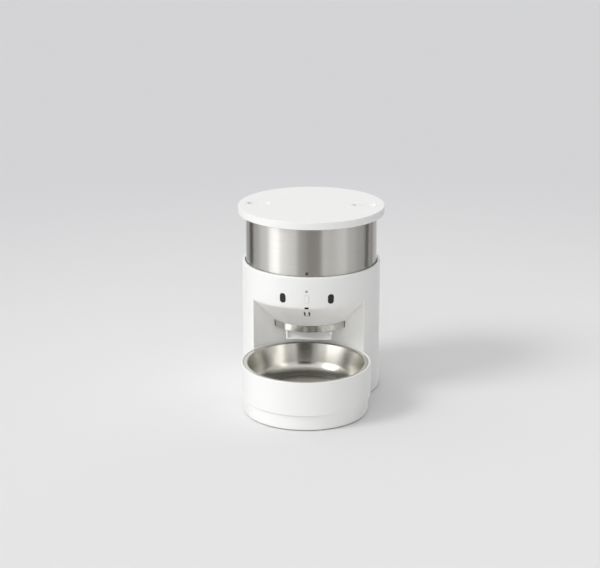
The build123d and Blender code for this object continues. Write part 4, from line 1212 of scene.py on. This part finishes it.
@dataclass
class Alcove(SubAssembly):
    """Recess panel: the curved wall behind the bowl stand and the cone under the band."""

    edge_lip: float = 1.2
    cone_rise: float = 3.2
    cone_foot: float = 0.3      # above the metal ring's top
    ring_gap: float = 0.6
    slide_gap: float = 0.3
    shell_wall: float = 2.5
    seat_gap: float = 0.1
    hole_gap: float = 0.08      # past the cone's inner edge, so that no two faces coincide
    mouth_inset: float = 0.6    # of the cone's soft edge, from the housing's outside
    mouth_round: float = 0.9
    mouth_slope: float = 3.0    # rise over run of the cutter outside the cone's soft edge
    slit_depth: float = 8.0
    catch_share: float = 0.27   # how far down the cone the catch sits
    catch_width: float = 8.6
    catch_height: float = 19.4
    catch_slot: float = 2.1
    catch_corner: float = 4.1
    catch_arm: float = 0.25     # where the slit's arms end, above its middle, of its height
    catch_depth: float = 12.0   # of the cutter that makes its slot
    catch_wall: float = 1.1     # thinner than the cone, so that the catch can bend
    pocket_margin: float = 3.0
    pocket_depth: float = 8.0
    tongue_width: float = 60.0
    tongue_height: float = 2.6
    chute_corner: float = 5.0
    chute_wall: float = 2.0
    chute_edge: float = 0.8
    slide_reach: float = 9.0    # how far the slide's top lies behind its lip
    slide_lip: float = 1.6
    cheek: float = 2.6
    chute_back: float = 24.0    # inner face of its back wall, in front of the housing's axis
    chute_end: float = 10.0     # where it ends before it is trimmed, in front of the same axis
    ring_edge: float = 0.6
    ring_wall: float = 2.0

    def build(self) -> None:
        """Makes the panel, the metal ring and the chute."""
        self.ring = Extent.of("outlet_ring")
        self.panel = Extent.of("alcove_panel")
        self.outside = Extent.of("housing_shell").radius
        self.cone_bottom = self.ring.high.z + self.cone_foot
        self.hole = self.ring.radius + self.ring_gap
        self.slope = (self.panel.high.z - self.edge_lip - self.cone_bottom) / (self.outside - self.hole)
        self.stand_for(self.moulding(), "alcove_panel")
        self.stand_for(self.metal_ring(), "outlet_ring")
        self.stand_for(self.chute(), "feed_chute")

    def cone_at(self, radius: float) -> float:
        """Height of the cone's underside at a radius."""
        return self.cone_bottom + self.slope * (radius - self.hole)

    def moulding(self) -> Workpiece:
        """Cuts the recess and the cone out of the space that the panel fills."""
        bottom = self.panel.low.z
        top = self.panel.high.z
        inset = self.outside - self.shell_wall - self.seat_gap
        panel = disc("recess_panel", BOWL_Y, PANEL_RADIUS, bottom, top + BEYOND)
        envelope = [
            Corner(self.outside, bottom - BEYOND),
            Corner(self.outside, top),
            Corner(inset, top),
            Corner(inset, self.cone_at(inset) + self.cone_rise),
            Corner(self.hole, self.cone_bottom + self.cone_rise),
        ]
        panel.combine(Join.KEEP, turned("envelope", BODY_Y, envelope))
        space = disc("space", BOWL_Y, RECESS_RADIUS, 0, top + 2 * BEYOND)
        beyond = self.outside + BEYOND
        edge = self.outside - self.mouth_inset
        under_cone = [
            Corner(beyond, -BEYOND),
            Corner(beyond, self.cone_at(edge) + self.mouth_slope * (beyond - edge)),
            Corner(edge, self.cone_at(edge), self.mouth_round),
            Corner(self.hole, self.cone_bottom),
        ]
        space.combine(Join.KEEP, turned("under_cone", BODY_Y, under_cone))
        low = self.ring.low.z - self.slide_gap
        ring_hole = disc("ring_hole", BODY_Y, self.hole + self.hole_gap, low, top + BEYOND)
        slit = Housing.slit.hole(self.outside, self.slit_depth, 0.0)
        half = self.tongue_width / 2 + self.seat_gap
        back = BOWL_Y + RECESS_RADIUS
        past = 4 * BEYOND
        notch = block("notch", (-half, back - past, 0), (half, back + past, bottom + self.tongue_height))
        return panel.combine(
            Join.CUT, space, ring_hole, slit, notch, self.catch_slit(), self.catch_pocket()
        )

    def catch_slit(self) -> Workpiece:
        """Makes the cutter of the U-shaped slit round the spring catch."""
        depth = self.catch_depth
        width, height = self.catch_width, self.catch_height
        cutter = plate("catch_slit", width, height, self.catch_corner, depth)
        half = width / 2 - self.catch_slot
        rest = height - 2 * self.catch_slot
        back = -depth - BEYOND
        tongue = block("tongue", (-half, -rest / 2, back), (half, rest, BEYOND))
        arm = self.catch_arm * height
        open_end = block("open_end", (-width, arm, back), (width, height, BEYOND))
        cutter.combine(Join.CUT, tongue, open_end)
        return cutter.place(self.on_cone(depth / 2))

    def catch_pocket(self) -> Workpiece:
        """Makes the cutter that thins the cone behind the catch."""
        width = self.catch_width + 2 * self.pocket_margin
        height = self.catch_height + 2 * self.pocket_margin
        pocket = plate("catch_pocket", width, height, self.catch_corner, self.pocket_depth)
        return pocket.place(self.on_cone(-self.catch_wall))

    def on_cone(self, lift: float) -> Matrix:
        """Finds the place on the cone's underside at the catch, facing down and forwards.

        Args:
            lift: distance out of the surface.

        Returns:
            The matrix in metres, with Y up the slope.
        """
        radius = self.outside - self.catch_share * (self.outside - self.hole)
        down = Vector((0, -self.slope, -1)).normalized()
        up_slope = Vector((0, -1, self.slope)).normalized()
        axes = Matrix((Vector((1, 0, 0)), up_slope, down)).transposed().to_4x4()
        place = Vector((0, BODY_Y - radius, self.cone_at(radius))) * MM
        return Matrix.Translation(place + down * lift * MM) @ axes

    def metal_ring(self) -> Workpiece:
        """Turns the ring round the portion chamber."""
        ring = self.ring
        edges = (0, self.ring_edge, self.ring_edge, 0)
        section = tube_section(ring.radius - self.ring_wall, ring.radius, ring.low.z, ring.high.z, edges)
        return turned("metal_ring", BODY_Y, section, hollow=True)

    def chute(self) -> Workpiece:
        """Makes the chute's walls, trimmed to the recess at their back."""
        box = Extent.of("feed_chute")
        width = 2 * box.radius
        front = box.low.y
        length = BODY_Y - self.chute_end - front
        chute = plate("chute_walls", width, length, self.chute_corner, box.height)
        with chute.editing():
            chute.round_edges(rim_edge(-box.height), self.chute_edge)
        chute.moved(0, front + length / 2, box.high.z)
        inner_front = front + self.slide_reach + self.chute_wall
        inner_length = BODY_Y - self.chute_back - inner_front
        inner_corner = self.chute_corner - self.chute_wall
        inner_width = width - 2 * self.chute_wall
        inner_height = box.height + 2 * BEYOND
        inner = plate("inner", inner_width, inner_length, inner_corner, inner_height)
        inner.moved(0, inner_front + inner_length / 2, box.high.z + BEYOND)
        chute.combine(Join.CUT, inner, self.slide(box))
        recess = RECESS_RADIUS - self.seat_gap
        trim = disc("trim", BOWL_Y, recess, box.low.z - BEYOND, box.high.z + BEYOND)
        return chute.combine(Join.KEEP, trim)

    def slide(self, box: Extent) -> Workpiece:
        """Makes the cutter of the curved slide that guides the food forwards, between two cheeks.

        Args:
            box: the chute's box.

        Returns:
            The cutter, in place.
        """
        drop = box.height - self.slide_lip
        radius = hypot(self.slide_reach, drop) ** 2 / (2 * drop)
        return Workpiece.added(
            "slide",
            bpy.ops.mesh.primitive_cylinder_add,
            vertices=256,
            radius=radius * MM,
            depth=2 * (box.radius - self.cheek) * MM,
            location=(0, box.low.y * MM, (box.low.z + self.slide_lip + radius) * MM),
            rotation=(0, pi / 2, 0),
        )


@dataclass
class BowlStand(SubAssembly):
    """Stand that docks in front of the housing: the ring that holds the bowl, on its foot."""

    wall: float = 2.9
    floor: float = 2.5
    ledge_depth: float = 1.8    # below the top
    ledge_reach: float = 3.6
    ledge_height: float = 3.0
    top_round: float = 1.2
    bottom_round: float = 1.6
    foot_wall: float = 2.5
    foot_round: float = 0.8
    column_radius: float = 7.0
    column_ring: float = 76.0
    column_sides: int = 48
    column_angles: tuple[float, ...] = (45, 135, 225, 315)
    tongue_width: float = 60.6
    tongue_height: float = 4.4
    tongue_depth: float = 15.0

    def build(self) -> None:
        """Makes the ring and the foot."""
        self.stand_for(self.ring(), "stand_ring")
        self.stand_for(self.foot(), "stand_foot")

    def ring(self) -> Workpiece:
        """Turns the ring with the ledge that carries the bowl."""
        box = Extent.of("stand_ring")
        outside = box.radius
        inside = outside - self.wall
        top = box.high.z
        ledge = top - self.ledge_depth
        section = [
            Corner(inside, box.low.z + self.floor),
            Corner(inside, ledge - self.ledge_height - self.ledge_reach),
            Corner(inside - self.ledge_reach, ledge - self.ledge_height),
            Corner(inside - self.ledge_reach, ledge),
            Corner(inside, ledge),
            Corner(inside, top, self.top_round),
            Corner(outside, top, self.top_round),
            Corner(outside, box.low.z, self.bottom_round),
        ]
        return turned("stand_ring_moulding", BOWL_Y, section, soft=5)

    def foot(self) -> Workpiece:
        """Turns the foot, adds the columns over its pads and cuts the docking notch."""
        box = Extent.of("stand_foot")
        inside = box.radius - self.foot_wall
        under_top = box.high.z - self.foot_wall
        section = [
            Corner(box.radius, box.high.z),
            Corner(box.radius, box.low.z, self.foot_round),
            Corner(inside, box.low.z),
            Corner(inside, under_top),
        ]
        foot = turned("stand_foot_moulding", BOWL_Y, section)
        pad_top = Extent.of("stand_pads").high.z
        sides = self.column_sides
        for angle in self.column_angles:
            across, along = around(BOWL_Y, self.column_ring, radians(angle))
            size = (self.column_radius, pad_top, under_top + SINK)
            foot.combine(Join.WELD, disc("column", along, *size, sides=sides, axis_x=across))
        back = BOWL_Y + box.radius
        half = self.tongue_width / 2
        front = back - self.tongue_depth
        notch = block("notch", (-half, front, 0), (half, back + BEYOND, self.tongue_height))
        return foot.combine(Join.CUT, notch)


@dataclass
class SteelBowl(SubAssembly):
    """Spun steel bowl whose flange lies on the stand's ledge."""

    steel: float = 0.8
    lip_inset: float = 5.8      # mouth of the bowl, inside its flange
    floor_inset: float = 10.4   # corner of the floor, inside the mouth
    corner_round: float = 20.0
    lip_round: float = 2.2

    def build(self) -> None:
        """Turns the bowl."""
        box = Extent.of("steel_bowl")
        mouth = box.radius - self.lip_inset
        corner = mouth - self.floor_inset
        floor = box.low.z + self.steel
        lean = (mouth - corner) / (box.high.z - floor)
        shift = self.steel * (hypot(1, lean) - lean)
        section = [
            Corner(corner, floor, self.corner_round),
            Corner(mouth, box.high.z, self.lip_round),
            Corner(box.radius, box.high.z),
            Corner(box.radius, box.high.z - self.steel),
            Corner(mouth + shift, box.high.z - self.steel, self.lip_round - self.steel),
            Corner(corner + shift, box.low.z, self.corner_round + self.steel),
        ]
        self.stand_for(turned("spun_bowl", BOWL_Y, section, soft=12), "steel_bowl")


class InnerWorks(SubAssembly):
    """All CAD nodes that show as they are, in their finishes."""

    def build(self) -> None:
        """Puts each node's finish in its slots."""
        for name, node in frame["nodes"].items():
            finish = FINISH_OF_SLOT[Roster.slot[name]]
            for slot in node.material_slots:
                slot.material = finish.material()
            if not node.hide_render:
                logger.info("%s: %s in %s", type(self).__name__, name, finish.name)


# ---------------------------------------------------------------- studio
@dataclass(frozen=True)
class Card:
    """Upright card round the set that only metal and gloss see: a softbox or a dark flag."""

    azimuth: float              # degrees from the camera, towards the right
    width: float                # degrees
    colour: str
    strength: float = 1.0
    low: float = -4_500.0       # height of its lower edge
    high: float = 4_500.0


@dataclass(frozen=True)
class Softbox:
    """Light so far off that it is even over the set."""

    azimuth: float              # degrees from the camera, towards the right
    height: float               # degrees above the horizon
    strength: float
    spread: float               # degrees across
    gloss: bool = False         # shows in metal, which otherwise sees only the cards


@dataclass
class Studio:
    """Pale floor, soft light mostly from the left, and the camera."""

    floor_size: float = 60_000.0
    floor_colour: str = "#EBEBEB"
    # the far tone is painted shade: the floor darkens away from a centre, standing for the light's falloff
    floor_painted_dim_tone: str = "#D9D9DB"
    painted_light_centre: tuple[float, float] = (50.0, -300.0)
    painted_light_reach: float = 350.0   # the near tone holds this far and darkens to the far tone by the next: painted falloff of the light
    painted_dim_end: float = 1800.0
    backdrop: str = "#EAEAEA"   # what the camera sees past the floor
    ambient: float = 0.48
    gloss_level: float = 0.95
    boxes: tuple[Softbox, ...] = (
        Softbox(-65.0, 39.0, 1.10, 22.0, gloss=True),
        Softbox(-100.0, 30.0, 0.36, 70.0),
        Softbox(-20.0, 20.0, 0.76, 70.0),
        Softbox(180.0, 45.0, 0.45, 70.0),
    )
    card_distance: float = 6_000.0
    card_step: float = 40.0     # each card hangs this much nearer than the one before it
    lens: float = 98.29
    sensor: float = 36.0
    sight: float = 100_000.0    # how far the camera sees
    eye: tuple[float, float, float] = (150.1, -2222.3, 850.7)
    aim: tuple[float, float, float] = (-10.7, -30.1, 173.7)
    cards: tuple[Card, ...] = (
        Card(-150.0, 16.0, "#9C9C9C"),
        Card(-130.0, 24.0, "#343434"),
        Card(-110.0, 16.0, "#CFCFCD"),
        Card(-68.0, 26.0, "#FFFFFF", 1.8),
        Card(-40.0, 30.0, "#F6F6F4", 1.1),
        Card(-17.0, 16.0, "#BDBCBA"),
        Card(5.0, 28.0, "#AAA7A3"),
        Card(41.0, 44.0, "#E2E2E0"),
        Card(73.0, 20.0, "#D8D8D6"),
        Card(94.0, 22.0, "#C2C2C0"),
        Card(113.0, 16.0, "#0C0C0C"),
        Card(130.0, 18.0, "#8E8E8E"),
        Card(148.0, 18.0, "#C4C4C4"),
        Card(51.0, 18.0, "#FFFFFF", 1.8, low=350.0),
        Card(3.0, 32.0, "#302E2C", low=350.0),
        Card(-58.0, 42.0, "#FFFFFF", 2.2, low=350.0),
        Card(-95.0, 30.0, "#202020", low=3_000.0, high=9_000.0),
    )

    def build(self) -> None:
        """Sets up the floor, the light, the cards and the camera."""
        self.floor()
        for index, box in enumerate(self.boxes):
            self.light(box, f"softbox_{index}")
        self.world()
        for index, card in enumerate(self.cards):
            self.hang(card, f"card_{index}", self.card_distance - index * self.card_step)
        self.camera()

    def azimuth_of_camera(self) -> float:
        """Azimuth of the camera from the front, towards the right, in radians."""
        across = self.eye[0] - self.aim[0]
        ahead = self.aim[1] - self.eye[1]
        return atan(across / ahead)

    def direction(self, azimuth: float) -> Vector:
        """Level direction from the object at an azimuth from the camera in degrees."""
        turn = self.azimuth_of_camera() + radians(azimuth)
        return Vector((sin(turn), -cos(turn), 0))

    def floor(self) -> None:
        """Lays the floor, which gloss looks through so that only the cards show in the steel. Its tone
        darkens away from a centre, a painted falloff of the light.
        """
        size = self.floor_size * MM
        plane = Workpiece.added("studio_floor", bpy.ops.mesh.primitive_plane_add, size=size).obj
        material = blank(bpy.data.materials, "pale_floor")
        place = add_node(material, "TexCoord", {}).outputs["Object"]
        centre = (-self.painted_light_centre[0] * MM, -self.painted_light_centre[1] * MM, 0)
        offset = add_node(material, "Mapping", {"Vector": place, "Location": centre}).outputs["Vector"]
        # painted falloff of the light: the floor's tone darkens with distance from the centre
        away = add_node(material, "VectorMath", {0: offset}, operation="LENGTH").outputs["Value"]
        reach = {"Value": away, 1: self.painted_light_reach * MM, 2: self.painted_dim_end * MM}
        painted_dimming = add_node(material, "MapRange", reach, interpolation_type="SMOOTHSTEP").outputs["Result"]
        tones = {0: painted_dimming, 6: linear(self.floor_colour), 7: linear(self.floor_painted_dim_tone)}
        tone = add_node(material, "Mix", tones, data_type="RGBA").outputs[2]
        diffuse = add_node(material, "BsdfDiffuse", {"Color": tone})
        clear = add_node(material, "BsdfTransparent", {})
        gloss = add_node(material, "LightPath", {}).outputs["Is Glossy Ray"]
        mixed = {0: gloss, 1: diffuse.outputs["BSDF"], 2: clear.outputs["BSDF"]}
        mix = add_node(material, "MixShader", mixed)
        add_node(material, "OutputMaterial", {"Surface": mix.outputs["Shader"]})
        plane.data.materials.append(material)

    def light(self, box: Softbox, name: str) -> None:
        """Adds a soft light.

        Args:
            box: the light.
            name: its name.
        """
        lamp = bpy.data.lights.new(name, "SUN")
        lamp.energy = box.strength
        lamp.angle = radians(box.spread)
        light = bpy.data.objects.new(name, lamp)
        bpy.context.scene.collection.objects.link(light)
        towards = self.direction(box.azimuth) + Vector((0, 0, tan(radians(box.height))))
        light.rotation_euler = towards.to_track_quat("Z", "Y").to_euler()
        light.visible_glossy = box.gloss

    def world(self) -> None:
        """Fills the room with even light."""
        world = blank(bpy.data.worlds, "studio_room")
        bpy.context.scene.world = world
        rays = add_node(world, "LightPath", {})
        span = {0: rays.outputs["Is Glossy Ray"], 2: self.ambient, 3: self.gloss_level}
        level = add_node(world, "Mix", span).outputs[0]
        even = add_node(world, "Background", {"Color": linear("#FFFFFF"), "Strength": level})
        seen = add_node(world, "Background", {"Color": linear(self.backdrop), "Strength": 1.0})
        mixed = {
            0: rays.outputs["Is Camera Ray"],
            1: even.outputs["Background"],
            2: seen.outputs["Background"],
        }
        mix = add_node(world, "MixShader", mixed)
        add_node(world, "OutputWorld", {"Surface": mix.outputs["Shader"]})

    def hang(self, card: Card, name: str, distance: float) -> None:
        """Hangs a card round the set.

        Args:
            card: the card.
            name: its name.
            distance: how far off it hangs.
        """
        away = self.direction(card.azimuth)
        place = away * distance + Vector((0, 0, (card.low + card.high) / 2))
        width = 2 * distance * tan(radians(card.width / 2))
        piece = Workpiece.added(
            name,
            bpy.ops.mesh.primitive_plane_add,
            size=MM,
            location=place * MM,
            rotation=away.to_track_quat("Z", "Y").to_euler(),
        )
        with piece.editing():
            side = Vector((0, 0, 1)).cross(away)
            height = card.high - card.low
            spread = [1 + (width - 1) * abs(side.x), 1 + (width - 1) * abs(side.y), height]
            bpy.ops.transform.resize(value=spread, center_override=place * MM)
        material = blank(bpy.data.materials, name)
        glow = {"Color": linear(card.colour), "Strength": card.strength}
        light = add_node(material, "Emission", glow)
        add_node(material, "OutputMaterial", {"Surface": light.outputs["Emission"]})
        piece.obj.data.materials.append(material)
        for ray in ("camera", "diffuse", "shadow", "transmission"):
            setattr(piece.obj, f"visible_{ray}", False)

    def camera(self) -> None:
        """Sets the camera."""
        camera = bpy.data.cameras.new("camera")
        camera.lens = self.lens
        camera.sensor_width = self.sensor
        camera.clip_end = self.sight * MM
        obj = bpy.data.objects.new("camera", camera)
        bpy.context.scene.collection.objects.link(obj)
        eye = Vector(self.eye) * MM
        obj.location = eye
        obj.rotation_euler = (Vector(self.aim) * MM - eye).to_track_quat("-Z", "Y").to_euler()
        bpy.context.scene.camera = obj
        bpy.context.scene.view_settings.view_transform = "Standard"


def main() -> None:
    """Builds the feeder's sub-assemblies and the studio."""
    logging.basicConfig(level=logging.INFO, format="%(message)s")
    parts = (Lid(), Hopper(), Housing(), Alcove(), BowlStand(), SteelBowl(), InnerWorks())
    for part in parts:
        part.build()
    Studio().build()


if __name__ == "__main__":
    main()
